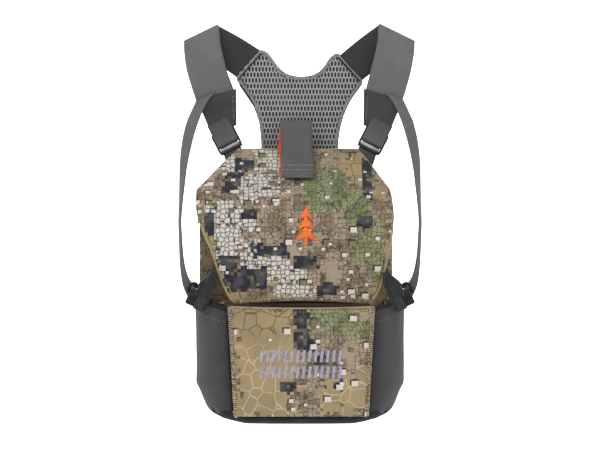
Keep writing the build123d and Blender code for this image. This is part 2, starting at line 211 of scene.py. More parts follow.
def closed_tube(base, rings, sides):
    """The same, with a face over each end."""
    last = base + (rings - 1) * sides
    ends = [tuple(range(base, base + sides))[::-1], tuple(range(last, last + sides))]
    return bridge(base, rings, sides) + ends


def grid(name, rows, cols, point, thick=0.0, shade=None):
    """A cloth surface: point(s, t) gives (position, flat position) for s, t from 0 to 1."""
    places = [(i / (cols - 1), j / (rows - 1)) for j in range(rows) for i in range(cols)]
    verts, cloth = zip(*(point(s, t) for s, t in places))
    faces = []
    for j in range(rows - 1):
        for a in range(j * cols, j * cols + cols - 1):
            faces.append((a, a + 1, a + 1 + cols, a + cols))
    obj = new_object(name, verts, faces, cloth, [shade(s, t) for s, t in places] if shade else None)
    if thick:
        modify(obj, "SOLIDIFY", thickness=thick * MM, offset=-1.0, use_even_offset=True)
        apply_modifiers(obj)
    return obj


def ribbon(name, edge_a, edge_b, thick, step=2.5, belly=0.0, shade=None, across=6, smooth_path=True):
    """Webbing between two edge lines, with rounded selvedges. shade(t) darkens it along its length."""
    line_a, line_b = [spline(edge, 60) if smooth_path else edge for edge in (edge_a, edge_b)]
    number = max(4, int(length_of([(a + b) / 2 for a, b in zip(line_a, line_b)]) / step) + 1)
    stations = []
    for i in range(number):
        f = i / (number - 1) * (len(line_a) - 1)
        k = min(int(f), len(line_a) - 2)
        stations.append((line_a[k].lerp(line_a[k + 1], f - k), line_b[k].lerp(line_b[k + 1], f - k)))
    half = thick / 2
    profile = [(i / across, half) for i in range(across + 1)]
    profile += [(i / across, -half) for i in range(across, -1, -1)]
    verts, cloth, tone = [], [], []
    travelled = 0.0
    for i, (a, b) in enumerate(stations):
        after = stations[min(i + 1, number - 1)]
        before = stations[max(i - 1, 0)]
        along = ((after[0] + after[1]) - (before[0] + before[1])).normalized()
        wide = b - a
        normal = wide.cross(along).normalized()
        travelled += (((a + b) - (before[0] + before[1])) / 2).length
        for s, h in profile:
            edge = 1.0 if 0 < s < 1 else 0.45
            crown = belly * (1 - (2 * s - 1) ** 2)
            verts.append(a + wide * s + normal * (h * edge + crown))
            cloth.append(((s - 0.5) * wide.length, travelled))
            tone.append(shade(i / (number - 1)) if shade else 1.0)
    return new_object(name, verts, closed_tube(0, number, len(profile)), cloth, tone)


def tube(name, path, radius, sides=8, squash=1.0, up=FORWARD):
    """A closed tube along a path, flattened by squash in the direction of up."""
    verts, cloth = [], []
    travelled = 0.0
    for i, p in enumerate(path):
        along = heading(path, i)
        cross = along.cross(up)
        cross = cross.normalized() if cross.length > 1e-6 else Vector((1, 0, 0))
        lift = cross.cross(along).normalized()
        if i:
            travelled += (p - path[i - 1]).length
        r = radius(i / (len(path) - 1)) if callable(radius) else radius
        for k in range(sides):
            a = 2 * math.pi * k / sides
            verts.append(p + cross * (math.cos(a) * r) + lift * (math.sin(a) * r * squash))
            cloth.append((k * r, travelled))
    return new_object(name, verts, closed_tube(0, len(path), sides), cloth)


def join(name, objects):
    """Several new objects made into one."""
    bm = bmesh.new()
    for o in objects:
        bm.from_mesh(o.data)
        bpy.data.objects.remove(o)
    return from_bmesh(name, bm)


def soft_copy(name, nodes, voxel, rounds=6, shape=None, blocks=(), plates=()):
    """A softened copy of CAD solids: remeshed, smoothed, then shaped by shape(vertex in mm).

    Each block (centre, x axis, z axis, half sizes) and each plate (outline seen from the front, front y,
    rear y) is moulded into the copy.
    """
    bm = bmesh.new()
    for n in nodes:
        bm.from_mesh(NODES[n].data)
    for outline, y_front, y_rear in plates:
        rings = [[bm.verts.new((x * MM, y * MM, z * MM)) for x, z in outline] for y in (y_front, y_rear)]
        faces = [bm.faces.new(rings[0]), bm.faces.new(rings[1][::-1])]
        for k in range(len(outline)):
            j = (k + 1) % len(outline)
            faces.append(bm.faces.new((rings[0][j], rings[0][k], rings[1][k], rings[1][j])))
        bmesh.ops.recalc_face_normals(bm, faces=faces)
    for centre, x_axis, z_axis, sizes in blocks:
        x_dir, z_dir = Vector(x_axis).normalized(), Vector(z_axis).normalized()
        turn = Matrix((x_dir, z_dir.cross(x_dir), z_dir)).transposed().to_4x4()
        scale = Matrix.Diagonal(Vector([2 * h * MM for h in sizes] + [1.0]))
        bmesh.ops.create_cube(bm, size=1.0, matrix=Matrix.Translation(Vector(centre) * MM) @ turn @ scale)
    obj = from_bmesh(name, bm)
    modify(obj, "REMESH", mode="VOXEL", voxel_size=voxel * MM)
    modify(obj, "SMOOTH", factor=0.5, iterations=rounds)
    apply_modifiers(obj)
    if shape:
        reshape(obj, shape)
    set_layers(obj.data, [(v.co / MM).xz for v in obj.data.vertices], None)
    return obj


def reshape(obj, shape):
    """Moves every vertex to where shape(vertex in mm) puts it."""
    for v in obj.data.vertices:
        v.co = Vector(shape(v.co / MM)) * MM


def soft_piece(name, node, voxel, rounds, material, body, shape=None):
    """A softened copy of one CAD node, finished."""
    return finish_piece(soft_copy(name, [node], voxel, rounds, shape), material, body, [node])


def surface_of(obj):
    """A search tree of an object's own mesh, in millimetres."""
    mesh = obj.data
    verts = [v.co / MM for v in mesh.vertices]
    return BVHTree.FromPolygons(verts, [tuple(p.vertices) for p in mesh.polygons])


def onto(tree, point, direction=(0, 1, 0), reach=400.0):
    """Where a line from in front of point meets a surface, with the surface's normal."""
    aim = Vector(direction)
    hit, normal, _, _ = tree.ray_cast(Vector(point) - aim * reach / 2, aim, reach)
    if hit is None:
        return None
    return hit, -normal if normal.dot(aim) > 0 else normal


def stitches(name, tree, line, material, body, slot, length, gap, radius, direction=(0, 1, 0)):
    """Thread stitches laid on a surface along a line."""
    path = even(line, 0.5)
    pitch = length + gap
    total = length_of(path)
    per = total / (len(path) - 1)
    verts, faces = [], []
    sides, rings, sink = 6, 5, 0.1
    for n in range(int(total / pitch)):
        i0 = int((n * pitch + gap / 2) / per)
        i1 = min(len(path) - 1, int((n * pitch + gap / 2 + length) / per))
        a, b = onto(tree, path[i0], direction), onto(tree, path[i1], direction)
        if not a or not b or (b[0] - a[0]).length > length * 2:
            continue
        start, finish = a[0], b[0]
        normal = (a[1] + b[1]).normalized()
        cross = (finish - start).cross(normal).normalized()
        faces += closed_tube(len(verts), rings, sides)
        for k in range(rings):
            t = k / (rings - 1)
            swell = max(0.25, math.sin(math.pi * (0.12 + 0.76 * t)))
            centre = start.lerp(finish, t) + normal * (radius * 0.6 * swell - sink)
            for m in range(sides):
                angle = 2 * math.pi * m / sides
                verts.append(centre + cross * (radius * swell * math.cos(angle))
                             + normal * (radius * swell * math.sin(angle)))
    return finish_piece(new_object(name, verts, faces), material, body)


def puffed(obj, limit, pressure=4.0, frames=20):
    """Swells a closed padded piece with a short cloth simulation, and caps how far it moves."""
    rest = [v.co.copy() for v in obj.data.vertices]
    cloth = modify(obj, "CLOTH")
    cloth.settings.quality = 4
    cloth.settings.use_pressure = True
    cloth.settings.uniform_pressure_force = pressure
    cloth.settings.effector_weights.gravity = 0.0
    cloth.point_cache.frame_start = 1
    cloth.point_cache.frame_end = frames
    scene = bpy.context.scene
    for number in range(1, frames + 1):
        scene.frame_set(number)
    apply_modifiers(obj)
    for v, start in zip(obj.data.vertices, rest):
        move = v.co - start
        if move.length > limit * MM:
            v.co = start + move.normalized() * limit * MM
    scene.frame_set(1)
    return obj


# ---------------------------------------------------------------- materials
def srgb(r, g, b):
    def linear(c):
        c /= 255
        return c / 12.92 if c <= 0.04045 else ((c + 0.055) / 1.055) ** 2.4
    return (linear(r), linear(g), linear(b), 1.0)


def grey(level):
    return srgb(level, level, level)


class Net:
    """Short names for making a material's nodes."""

    def __init__(self, name, rough=0.8, metallic=0.0, sheen=0.0, specular=0.5):
        self.material = bpy.data.materials.new(name)
        self.material.use_nodes = True
        tree = self.material.node_tree
        self.nodes, self.links = tree.nodes, tree.links
        self.shader = self.nodes["Principled BSDF"]
        self.shader.inputs["Roughness"].default_value = rough
        self.shader.inputs["Metallic"].default_value = metallic
        self.shader.inputs["Sheen Weight"].default_value = sheen
        self.shader.inputs["Specular IOR Level"].default_value = specular

    def put(self, socket, value):
        if isinstance(value, bpy.types.NodeSocket):
            self.links.new(value, socket)
        else:
            socket.default_value = value

    def math(self, op, a, b=0.0):
        node = self.nodes.new("ShaderNodeMath")
        node.operation = op
        self.put(node.inputs[0], a)
        self.put(node.inputs[1], b)
        return node.outputs[0]

    def mul(self, a, b):
        return self.math("MULTIPLY", a, b)

    def add(self, a, b):
        return self.math("ADD", a, b)

    def sub(self, a, b):
        return self.math("SUBTRACT", a, b)

    def wave(self, value, pitch):
        """A sine over a length in mm."""
        return self.math("SINE", self.mul(value, 2 * math.pi / pitch))

    def vector(self, op, a, b=(0, 0, 0)):
        node = self.nodes.new("ShaderNodeVectorMath")
        node.operation = op
        self.put(node.inputs[0], a)
        self.put(node.inputs["Scale" if op == "SCALE" else 1], b)
        return node.outputs["Vector"]

    def moved(self, vector, x, y):
        return self.vector("ADD", vector, (x, y, 0))

    def mix(self, factor, a, b, mode="MIX"):
        node = self.nodes.new("ShaderNodeMix")
        node.data_type = "RGBA"
        node.blend_type = mode
        self.put(node.inputs[0], factor)
        self.put(node.inputs[6], a)
        self.put(node.inputs[7], b)
        return node.outputs[2]

    def tint(self, tone, *colour):
        """A tone multiplied by a grey, or by a colour."""
        return self.mix(1.0, tone, (*(colour * 3 if len(colour) == 1 else colour), 1), "MULTIPLY")

    def shaded(self, tone, *colour):
        """Darkens a tone where the mesh's own shade is low."""
        return self.mix(self.attribute("shade")["Fac"], self.tint(tone, *colour), tone)

    def step(self, value, low, high):
        node = self.nodes.new("ShaderNodeMapRange")
        node.interpolation_type = "SMOOTHSTEP"
        self.put(node.inputs[0], value)
        node.inputs[1].default_value = low
        node.inputs[2].default_value = high
        return node.outputs[0]

    def noise(self, vector, scale, detail=2.0, rough=0.5):
        node = self.nodes.new("ShaderNodeTexNoise")
        self.put(node.inputs["Vector"], vector)
        node.inputs["Scale"].default_value = scale
        node.inputs["Detail"].default_value = detail
        node.inputs["Roughness"].default_value = rough
        return node.outputs[0]

    def white(self, vector):
        node = self.nodes.new("ShaderNodeTexWhiteNoise")
        self.put(node.inputs["Vector"], vector)
        return node.outputs

    def cells(self, vector, scale, feature="DISTANCE_TO_EDGE", random=0.8):
        node = self.nodes.new("ShaderNodeTexVoronoi")
        node.feature = feature
        self.put(node.inputs["Vector"], vector)
        node.inputs["Scale"].default_value = scale
        node.inputs["Randomness"].default_value = random
        return node.outputs["Distance"]

    def attribute(self, name):
        node = self.nodes.new("ShaderNodeAttribute")
        node.attribute_name = name
        return node.outputs

    def position(self):
        """Place on the object in millimetres."""
        node = self.nodes.new("ShaderNodeTexCoord")
        return self.vector("SCALE", node.outputs["Object"], 1000.0)

    def cloth(self):
        """Place on the flat cloth in millimetres."""
        return self.vector("SCALE", self.attribute("cloth")["Vector"], 1000.0)

    def split(self, vector):
        node = self.nodes.new("ShaderNodeSeparateXYZ")
        self.put(node.inputs[0], vector)
        return node.outputs

    def bump(self, height, strength, distance=0.0004, previous=None):
        node = self.nodes.new("ShaderNodeBump")
        node.inputs["Strength"].default_value = strength
        node.inputs["Distance"].default_value = distance
        self.put(node.inputs["Height"], height)
        if previous is not None:
            self.put(node.inputs["Normal"], previous)
        return node.outputs[0]

    def end(self, colour=None, normal=None, rough=None):
        if colour is not None:
            self.put(self.shader.inputs["Base Color"], colour)
        if normal is not None:
            self.put(self.shader.inputs["Normal"], normal)
        if rough is not None:
            self.put(self.shader.inputs["Roughness"], rough)
        return self.material


def weave_height(net, place, pitch):
    """Plain weave: threads crossing over and under."""
    x, y = net.split(net.vector("SCALE", place, 2 * math.pi / pitch))[:2]
    return net.mul(net.math("SINE", x), net.math("SINE", y))


def plain_cloth(name, colour, dark=0.75, pitch=0.9, rough=0.85, blotch=25.0, sheen=0.0, bump=0.5):
    net = Net(name, rough=rough, sheen=sheen, specular=0.3)
    place = net.cloth()
    body = net.position()
    height = weave_height(net, place, pitch)
    deep = tuple(c * dark for c in colour[:3]) + (1.0,)
    tone = net.mix(net.step(net.noise(body, 1 / blotch, 3), 0.35, 0.65), deep, colour)
    # Painted shade: the weave's low points are darkened, as shade between the threads.
    tone = net.mix(net.mul(net.step(height, -0.6, 0.6), 0.35), net.tint(tone, 0.7), tone)
    speck = net.mul(net.noise(body, 1.3, 2), 0.5)
    tone = net.mix(speck, tone, net.tint(tone, 1.25))
    return net.end(tone, net.bump(height, bump, 0.0003))


def webbing(name, colour, rib=1.9, rough=0.7, crosswise=False):
    """Nylon webbing: ribs along its length, or across it, and a fine herring weave."""
    net = Net(name, rough=rough, specular=0.35)
    place = net.cloth()
    x, y = net.split(place)[:2]
    if crosswise:
        x, y = y, x
    ribs = net.wave(x, rib)
    zig = net.math("ABSOLUTE", net.math("SINE", net.mul(x, math.pi / rib)))
    picks = net.wave(net.add(y, net.mul(zig, 0.5)), 1.1)
    height = net.add(net.mul(ribs, 0.6), net.mul(picks, 0.4))
    # Painted shade: the hollows between the ribs take the darker deep colour.
    deep = tuple(c * 0.62 for c in colour[:3]) + (1.0,)
    tone = net.mix(net.step(height, -0.9, 0.5), deep, colour)
    worn = net.step(net.noise(net.position(), 0.05, 3), 0.3, 0.75)
    tone = net.mix(net.mul(worn, 0.35), tone, net.tint(tone, 1.35))
    tone = net.shaded(tone, 0.12)
    return net.end(tone, net.bump(height, 0.55, 0.0004))


TAN = srgb(160, 141, 104)
BROWN = srgb(157, 142, 122)
UMBER = srgb(130, 115, 97)
OLIVE = srgb(140, 142, 108)
CREAM = srgb(206, 198, 187)
SLATE = srgb(40, 42, 48)
# Soft patches of each colour on the flat cloth: middle x, middle z, half width, half height, in mm.
TAN_PATCHES = [(49, 264, 13, 20), (83, 243, 9, 17), (-72, 127, 10, 8), (80, 134, 8, 10), (-38, 62, 29, 60),
               (44, 27, 24, 16), (66, 48, 10, 9), (84, 172, 6, 8), (-96, 134, 6, 10), (-92, 180, 5, 30)]
OLIVE_PATCHES = [(24, 247, 21, 20), (38, 224, 30, 12), (58, 208, 14, 12), (68, 178, 15, 20), (76, 156, 8, 14),
                 (28, 104, 24, 12), (56, 92, 11, 8), (-98, 196, 8, 8)]
CREAM_PATCHES = [(-33, 280, 12, 20), (-76, 275, 11, 10), (-41, 243, 18, 16), (-80, 214, 18, 9),
                 (-56, 224, 9, 6), (-73, 188, 12, 22), (-52, 197, 8, 6), (-52, 174, 9, 7), (-36, 160, 27, 7),
                 (-17, 147, 20, 8), (-4, 132, 20, 7)]
SLATE_PATCHES = [(-73, 158, 11, 8), (-31, 172, 17, 6), (4, 160, 11, 6), (-52, 208, 8, 5), (-57, 273, 9, 7),
                 (-69, 247, 9, 13), (64, 200, 7, 6), (-57, 143, 21, 12), (26, 132, 10, 6), (-92, 200, 5, 11),
                 (0, 99, 7, 19), (5, 76, 9, 6), (18, 62, 6, 5), (-14, 36, 9, 5), (66, 252, 4, 26),
                 (36, 38, 5, 5)]


def camouflage(name):
    """Block camouflage: broad colour areas, with made-up cracks and blocks inside them."""
    net = Net(name, rough=0.86, specular=0.25)
    place = net.cloth()
    fine = net.vector("SNAP", place, (3.3, 3.3, 1.0))
    coarse = net.vector("SNAP", place, (6.6, 6.6, 1.0))

    def region(offset, patches):
        """1 inside stepped patches, 0 outside."""
        broad = net.mul(net.noise(net.moved(coarse, offset, offset * 0.7), 0.075, 2, 0.6), 0.62)
        ragged = net.mul(net.noise(net.moved(fine, offset * 1.3, offset), 0.12, 2, 0.6), 0.38)
        edge = net.add(broad, ragged)
        value = None
        for x, z, wide, high in patches:
            away = net.vector("ABSOLUTE", net.vector("SUBTRACT", fine, (x, z, 0)))
            u, v = net.split(net.vector("MULTIPLY", away, (1 / wide, 1 / high, 1)))[:2]
            near = net.math("MAXIMUM", u, v)
            value = near if value is None else net.math("MINIMUM", value, near)
        reach = net.add(net.mul(net.sub(edge, 0.5), 2.6), 1.02)
        return net.math("LESS_THAN", value, reach)

    tone = net.mix(net.step(net.noise(coarse, 0.05, 3, 0.6), 0.50, 0.51), BROWN, UMBER)
    tan = region(43, TAN_PATCHES)
    olive = region(87, OLIVE_PATCHES)
    cream = region(151, CREAM_PATCHES)
    dark = region(203, SLATE_PATCHES)

    # Fine cracks all over the brown and green, wide ones on the tan, pale cobbles on the cream.
    small = net.cells(place, 1 / 4.3, random=0.62)
    line = net.mul(net.step(small, 0.1, 0.04), net.step(net.noise(place, 0.05, 2), 0.30, 0.48))
    tone = net.mix(net.mul(line, 0.78), tone, srgb(66, 53, 40))
    wide = net.cells(net.moved(place, 7, 59), 1 / 16.0, random=0.75)
    upper = net.step(net.split(place)[1], 70, 96)
    tan_tone = net.mix(net.mul(net.step(wide, 0.04, 0.015), 0.8), net.mix(
        net.step(net.noise(place, 0.03, 3), 0.35, 0.7), TAN, srgb(142, 126, 96)),
        net.mix(upper, srgb(188, 175, 145), srgb(92, 78, 54)))
    tone = net.mix(tan, tone, tan_tone)
    green = net.mix(net.mul(net.step(small, 0.11, 0.04), 0.75), net.mix(
        net.step(net.noise(place, 0.06, 2), 0.4, 0.65), OLIVE, srgb(112, 116, 82)), srgb(62, 66, 46))
    tone = net.mix(olive, tone, green)
    crack = net.cells(net.moved(place, 13, 5), 1 / 4.7, random=0.55)
    pebble = net.step(crack, 0.02, 0.3)
    pale = net.mix(net.step(crack, 0.095, 0.035), net.mix(pebble, srgb(182, 174, 163), CREAM),
                   srgb(68, 70, 80))
    tone = net.mix(cream, tone, pale)
    night = net.mix(net.step(net.noise(place, 0.09, 3), 0.45, 0.62), SLATE, srgb(70, 72, 76))
    night = net.mix(net.step(net.noise(fine, 0.17, 2), 0.60, 0.61), night, srgb(104, 90, 72))
    tone = net.mix(dark, tone, night)

    # Scattered small blocks that look raised, each with a dark edge above and to its left.
    busy = net.sub(1.0, net.mul(tan, 0.75))
    for pitch, share, offset, size in ((13, 0.15, 5, 0.23), (8.5, 0.11, 63, 0.24), (6, 0.07, 117, 0.25)):
        scaled = net.vector("SCALE", net.moved(place, offset, offset * 1.3), 1 / pitch)
        cell = net.vector("FLOOR", scaled)
        inside_cell = net.vector("FRACTION", scaled)
        random = net.white(cell)
        shift = net.vector("SCALE", net.vector("SUBTRACT", random["Color"], (0.5, 0.5, 0.5)), 0.34)
        local = net.vector("SUBTRACT", net.vector("SUBTRACT", inside_cell, (0.5, 0.5, 0.0)), shift)
        local = net.vector("MULTIPLY", local, (0.9, 1.12, 1.0))
        other = net.white(net.moved(cell, 17.3, 3.1))
        here = net.math("LESS_THAN", other["Value"], net.mul(busy, share))

        def square(dx, dy, grow=0.0):
            moved_in = net.vector("ABSOLUTE", net.moved(local, dx, dy))
            px, py = net.split(moved_in)[:2]
            return net.mul(net.math("LESS_THAN", net.math("MAXIMUM", px, py), size + grow), here)

        tone = net.mix(net.mul(square(0.08, -0.1, 0.03), 0.9), tone, srgb(30, 30, 34))
        pick = net.split(net.white(net.moved(cell, 5.7, 41.0))["Color"])
        white_one = net.mul(net.math("GREATER_THAN", pick[0], 0.42), net.sub(1.0, cream))
        block = net.mix(net.math("GREATER_THAN", pick[1], 0.5), srgb(116, 120, 74), srgb(124, 104, 82))
        block = net.mix(white_one, block, srgb(206, 199, 191))
        tone = net.mix(square(0.0, 0.0), tone, block)

    grain = net.noise(place, 1.5, 3, 0.7)
    tone = net.mix(net.mul(net.step(grain, 0.38, 0.68), 0.30), tone, net.tint(tone, 0.5))
    tone = net.shaded(tone, 0.36, 0.32, 0.26)
    height = weave_height(net, place, 0.8)
    raised = net.mul(net.mul(cream, pebble), 0.7)
    normal = net.bump(height, 0.35, 0.0003)
    normal = net.bump(raised, 0.3, 0.0005, normal)
    return net.end(tone, normal)


def spacer_mesh(name, light, dark, scale=2.2):
    net = Net(name, rough=0.8, specular=0.3)
    place = net.cloth()
    fuzz = net.noise(net.position(), scale, 3, 0.7)
    tone = net.mix(net.step(fuzz, 0.3, 0.7), dark, light)
    twist = net.wave(net.add(*net.split(place)[:2]), 0.8)
    return net.end(tone, net.bump(twist, 0.5, 0.0003))


def plastic(name, colour, rough=0.38, specular=0.5):
    net = Net(name, rough=rough, specular=specular)
    place = net.position()
    pits = net.noise(place, 3.0, 3, 0.6)
    light = tuple(min(1, c * 1.7 + 0.004) for c in colour[:3]) + (1,)
    tone = net.mix(net.step(net.noise(place, 0.12, 2), 0.35, 0.7), colour, light)
    rubbed = net.add(rough - 0.06, net.mul(net.noise(place, 0.3, 3), 0.18))
    return net.end(tone, net.bump(pits, 0.12, 0.0002), rubbed)


def thread(name, one, two, scale=0.5):
    net = Net(name, rough=0.55, specular=0.4)
    place = net.position()
    tone = net.mix(net.step(net.noise(place, scale, 1), 0.42, 0.58), one, two)
    ply = net.math("SINE", net.mul(net.add(*net.split(place)[:2]), 9.0))
    return net.end(tone, net.bump(ply, 0.4, 0.0002))


CAMO = camouflage("print_cloth")
WEB = webbing("grey_webbing", grey(110))
WEB_TAB = webbing("tab_webbing", grey(90), rib=1.5, crosswise=True)
KNIT = plain_cloth("charcoal_knit", srgb(80, 80, 81), dark=0.88, pitch=1.3, rough=0.9, sheen=0.15, bump=0.9)
CANVAS = plain_cloth("patch_canvas", srgb(78, 78, 79), dark=0.82, pitch=1.2, blotch=22.0, bump=0.9)
BASECLOTH = plain_cloth("base_cloth", srgb(62, 62, 64), pitch=1.0)
ELASTIC = plain_cloth("dark_elastic", srgb(48, 48, 52), pitch=1.2)
BROWNLINING = plain_cloth("brown_lining", srgb(92, 74, 70), pitch=0.8, sheen=0.2)
ORANGE = plain_cloth("orange_lining", srgb(228, 92, 44), dark=0.85, pitch=0.8)
MESH = spacer_mesh("spacer_mesh", grey(220), grey(156))
MESHRIM = spacer_mesh("mesh_binding", grey(166), grey(84), 0.9)
MESHDARK = plain_cloth("mesh_core", srgb(92, 92, 94), pitch=1.4)
PLASTIC = plastic("black_acetal", srgb(12, 12, 13), 0.34, 0.42)
# Grey plastic for thin painted highlight lines on the black buckles.
GLINT_PLASTIC = plastic("painted_glint_acetal", srgb(58, 58, 60), 0.3)
# Light grey for the ladder lock's lower bar: painted sheen on the black plastic.
SHEEN_BAR_PLASTIC = plastic("painted_sheen_bar", srgb(132, 132, 134), 0.45)
# A darker copy of the grey webbing, for webbing round the lower buckles: painted shade.
SHADED_WEB = webbing("painted_shade_webbing", srgb(62, 62, 64))
TANEDGE = plain_cloth("tan_binding", srgb(182, 162, 124), dark=0.8, pitch=0.8, blotch=6.0)
THREADTAN = thread("tan_thread", srgb(206, 178, 130), srgb(128, 92, 58))
THREADROPE = thread("overlock_thread", srgb(206, 190, 166), srgb(110, 92, 70), 0.6)
THREADGREY = thread("grey_thread", grey(176), grey(130))
THREADORANGE = thread("orange_thread", srgb(240, 128, 58), srgb(226, 98, 30))
THREADDARK = thread("dark_thread", srgb(70, 70, 72), srgb(44, 44, 46))
THREADPALE = thread("pale_thread", srgb(172, 168, 186), srgb(150, 147, 166))


def steel(name):
    net = Net(name, rough=0.32, metallic=1.0)
    grain = net.noise(net.vector("MULTIPLY", net.position(), (1.0, 1.0, 9.0)), 0.9, 3)
    tone = net.mix(grain, srgb(150, 150, 155), srgb(196, 196, 200))
    return net.end(tone, net.bump(grain, 0.1, 0.0002))


STEEL = steel("plated_magnet")


# ---------------------------------------------------------------- stage
FRAME_WIDTH = 600.0
SENSOR_WIDTH = 36.0
camera_data = bpy.data.cameras.new("camera")
camera_data.sensor_width = SENSOR_WIDTH
camera_data.lens = SENSOR_WIDTH * DISTANCE / FRAME_WIDTH
camera_data.clip_end = 50.0
camera = link("camera", camera_data)
camera.location = (0.0, (FRONT_PLANE_Y - DISTANCE) * MM, CAMERA_Z * MM)
camera.rotation_euler = (math.radians(90), 0, 0)
bpy.context.scene.camera = camera


def backdrop():
    """A white floor, below the hanging pack, that curves up into a wall."""
    half, bend, steps, drop = 9.0, 5.0, 8, 0.12
    profile = [(-half, 0.0), (-2.0, 0.0), (2.0, 0.0), (bend, 0.0)]
    for k in range(1, steps + 1):
        angle = math.radians(90 * k / steps)
        profile.append((bend + math.sin(angle), 1.0 - math.cos(angle)))
    profile.append((bend + 1.0, half))
    verts = [(x / MM, y / MM, (z - drop) / MM) for x in (-half, half) for y, z in profile]
    count = len(profile)
    floor = new_object("floor", verts, [(k, count + k, count + k + 1, k + 1) for k in range(count - 1)])
    floor.data.shade_smooth()
    net = Net("paper", rough=0.9, specular=0.1)
    net.end(net.mix(net.noise(net.position(), 0.002, 2), (0.92, 0.92, 0.92, 1), (0.95, 0.95, 0.95, 1)))
    floor.data.materials.append(net.material)


backdrop()
world = bpy.data.worlds.new("studio")
world.use_nodes = True
world.node_tree.nodes["Background"].inputs[0].default_value = (1, 1, 1, 1)
world.node_tree.nodes["Background"].inputs[1].default_value = 0.85
bpy.context.scene.world = world
bpy.context.scene.view_settings.view_transform = "Standard"


def area_light(name, place, aim, size, power):
    data = bpy.data.lights.new(name, "AREA")
    data.shape = "SQUARE"
    data.size = size
    data.energy = power
    lamp = link(name, data)
    lamp.location = place
    lamp.rotation_euler = (Vector(aim) - Vector(place)).to_track_quat("-Z", "Y").to_euler()


area_light("key", (-1.1, -1.6, 1.7), (0, 0, 0.2), 0.9, 16)
area_light("fill", (1.5, -1.4, 0.9), (0, 0, 0.2), 1.2, 6)
area_light("back_left", (-1.4, 1.2, 1.5), (0, 0, 0.25), 0.8, 9)
area_light("wall_wash", (0, 3.2, 3.6), (0, 6.0, 0.4), 3.0, 330)
area_light("back_right", (1.3, 1.6, 1.2), (0, 0, 0.2), 1.0, 7)


# ---------------------------------------------------------------- lid hood
HEM_Z = 121.5
FRONT_Y = -44.0
KNEE_R = 40.0
SLOPE = math.radians(32.6)
KNEE_C = (-4.0, 200.0)
RUN_FRONT = KNEE_C[1] - HEM_Z
RUN_BENT = RUN_FRONT + KNEE_R * (math.pi / 2 - SLOPE)
RUN_ALL = RUN_BENT + 79.5
SLOPE_OUT = Vector((0, -math.sin(SLOPE), math.cos(SLOPE)))
LID_MIDDLE = [(121, 2.5), (149, 1.5), (176, 0), (191, -2), (206, -3.5), (216, -5.2), (236, -6.8), (278, -1.5)]
LID_HALF = [(121, 70.5), (129, 74), (139, 78.5), (149, 82), (166, 86.5), (176, 89.5), (191, 94), (206, 98),
            (216, 99), (226, 98.6), (236, 97.6), (278, 61)]
GUSSET_START = 198.0
GUSSET_SHARE = 0.13


def lid_centre(run):
    """(y, z) on the hood's middle line, at a distance up from its hem."""
    if run < RUN_FRONT:
        return FRONT_Y, HEM_Z + run
    if run < RUN_BENT:
        a = (run - RUN_FRONT) / KNEE_R
        return KNEE_C[0] - math.cos(a) * KNEE_R, KNEE_C[1] + math.sin(a) * KNEE_R
    past = run - RUN_BENT
    return (KNEE_C[0] - math.sin(SLOPE) * KNEE_R + math.cos(SLOPE) * past,
            KNEE_C[1] + math.cos(SLOPE) * KNEE_R + math.sin(SLOPE) * past)


def lid_edge(run, side):
    y, z = lid_centre(run)
    rise = 1.0 - (1.0 - min(1.0, run / 7.0)) ** 2
    half = table(z, LID_HALF) - 3.0 * (1 - math.sqrt(rise))
    return Vector((table(z, LID_MIDDLE) + side * half, y + 4.0, z))


def lid_gusset(run, side):
    """The free edge of the hood's side, which runs back and up from the front panel."""
    edge = lid_edge(run, side)
    share = min(1.0, max(0.0, (edge.z - GUSSET_START) / (274 - GUSSET_START)))
    back = Vector((lerp(-4.5, -7, share) + side * lerp(97.5, 95, share), lerp(-38, 37.5, share ** 0.75),
                   lerp(195, 238, share)))
    tuck = edge + Vector((-side * 1.2, 2.2, 0))
    return tuck.lerp(back, smooth((edge.z - GUSSET_START) / 14))


def lid_point(s, t):
    """The hood is a bent front panel between two side gussets."""
    run = t * RUN_ALL
    y, z = lid_centre(run)
    flat_z = HEM_Z + run - 0.3 * max(0.0, run - RUN_BENT)
    if s < GUSSET_SHARE or s > 1 - GUSSET_SHARE:
        side = -1 if s < 0.5 else 1
        f = 1 - (s / GUSSET_SHARE if side < 0 else (1 - s) / GUSSET_SHARE)
        edge, end = lid_edge(run, side), lid_gusset(run, side)
        p = edge.lerp(end, f)
        bulge = math.sin(math.pi * f) * smooth((edge.z - GUSSET_START) / 30)
        p.x += side * 1.2 * bulge
        flat_x = edge.x + side * (end - edge).length * f
    else:
        f = (s - GUSSET_SHARE) / (1 - 2 * GUSSET_SHARE)
        p = lid_edge(run, -1).lerp(lid_edge(run, 1), f)
        c = 2 * f - 1
        crown = 1 - abs(c) ** 4
        out = FORWARD if run < RUN_FRONT else Vector((0, y - KNEE_C[0], z - KNEE_C[1])).normalized()
        if run > RUN_BENT:
            out = SLOPE_OUT
        p.y = y + 4.0 * abs(c) ** 3
        p += out * (2.4 * crown * math.sin(math.pi * min(1, t * 1.2 + 0.05)) ** 0.5)
        corner = max(0.0, (abs(c) - 0.9) / 0.1)
        if run < 8:
            p.z += (1 - run / 8) * (3.6 * (1 - c * c) - 1.6 + 1.4 * corner ** 2)
        flat_x = p.x
        p += out * (0.9 * wave(p.x, p.y, p.z, 34) + 0.35 * wave(p.x, p.y + 70, p.z, 11))
    return p, (flat_x, flat_z)


lid = grid("lid", 92, 104, lid_point)
thicken(lid, 2.8, relax=5)
finish_piece(lid, [CAMO, BROWNLINING], "lid", ["lid_shell"])
LID_TREE = surface_of(lid)



def lid_side_edge(side):
    line = []
    for k in range(60):
        run = RUN_ALL * k / 59
        edge = lid_edge(run, side)
        line.append(lid_gusset(run, side) if edge.z > GUSSET_START else edge + Vector((0, 0.5, 0)))
    return line


def lid_across(t, parts, offset):
    """A line across the lid's front panel."""
    return [lid_point(GUSSET_SHARE + (1 - 2 * GUSSET_SHARE) * k / parts, t)[0] + Vector(offset)
            for k in range(parts + 1)]


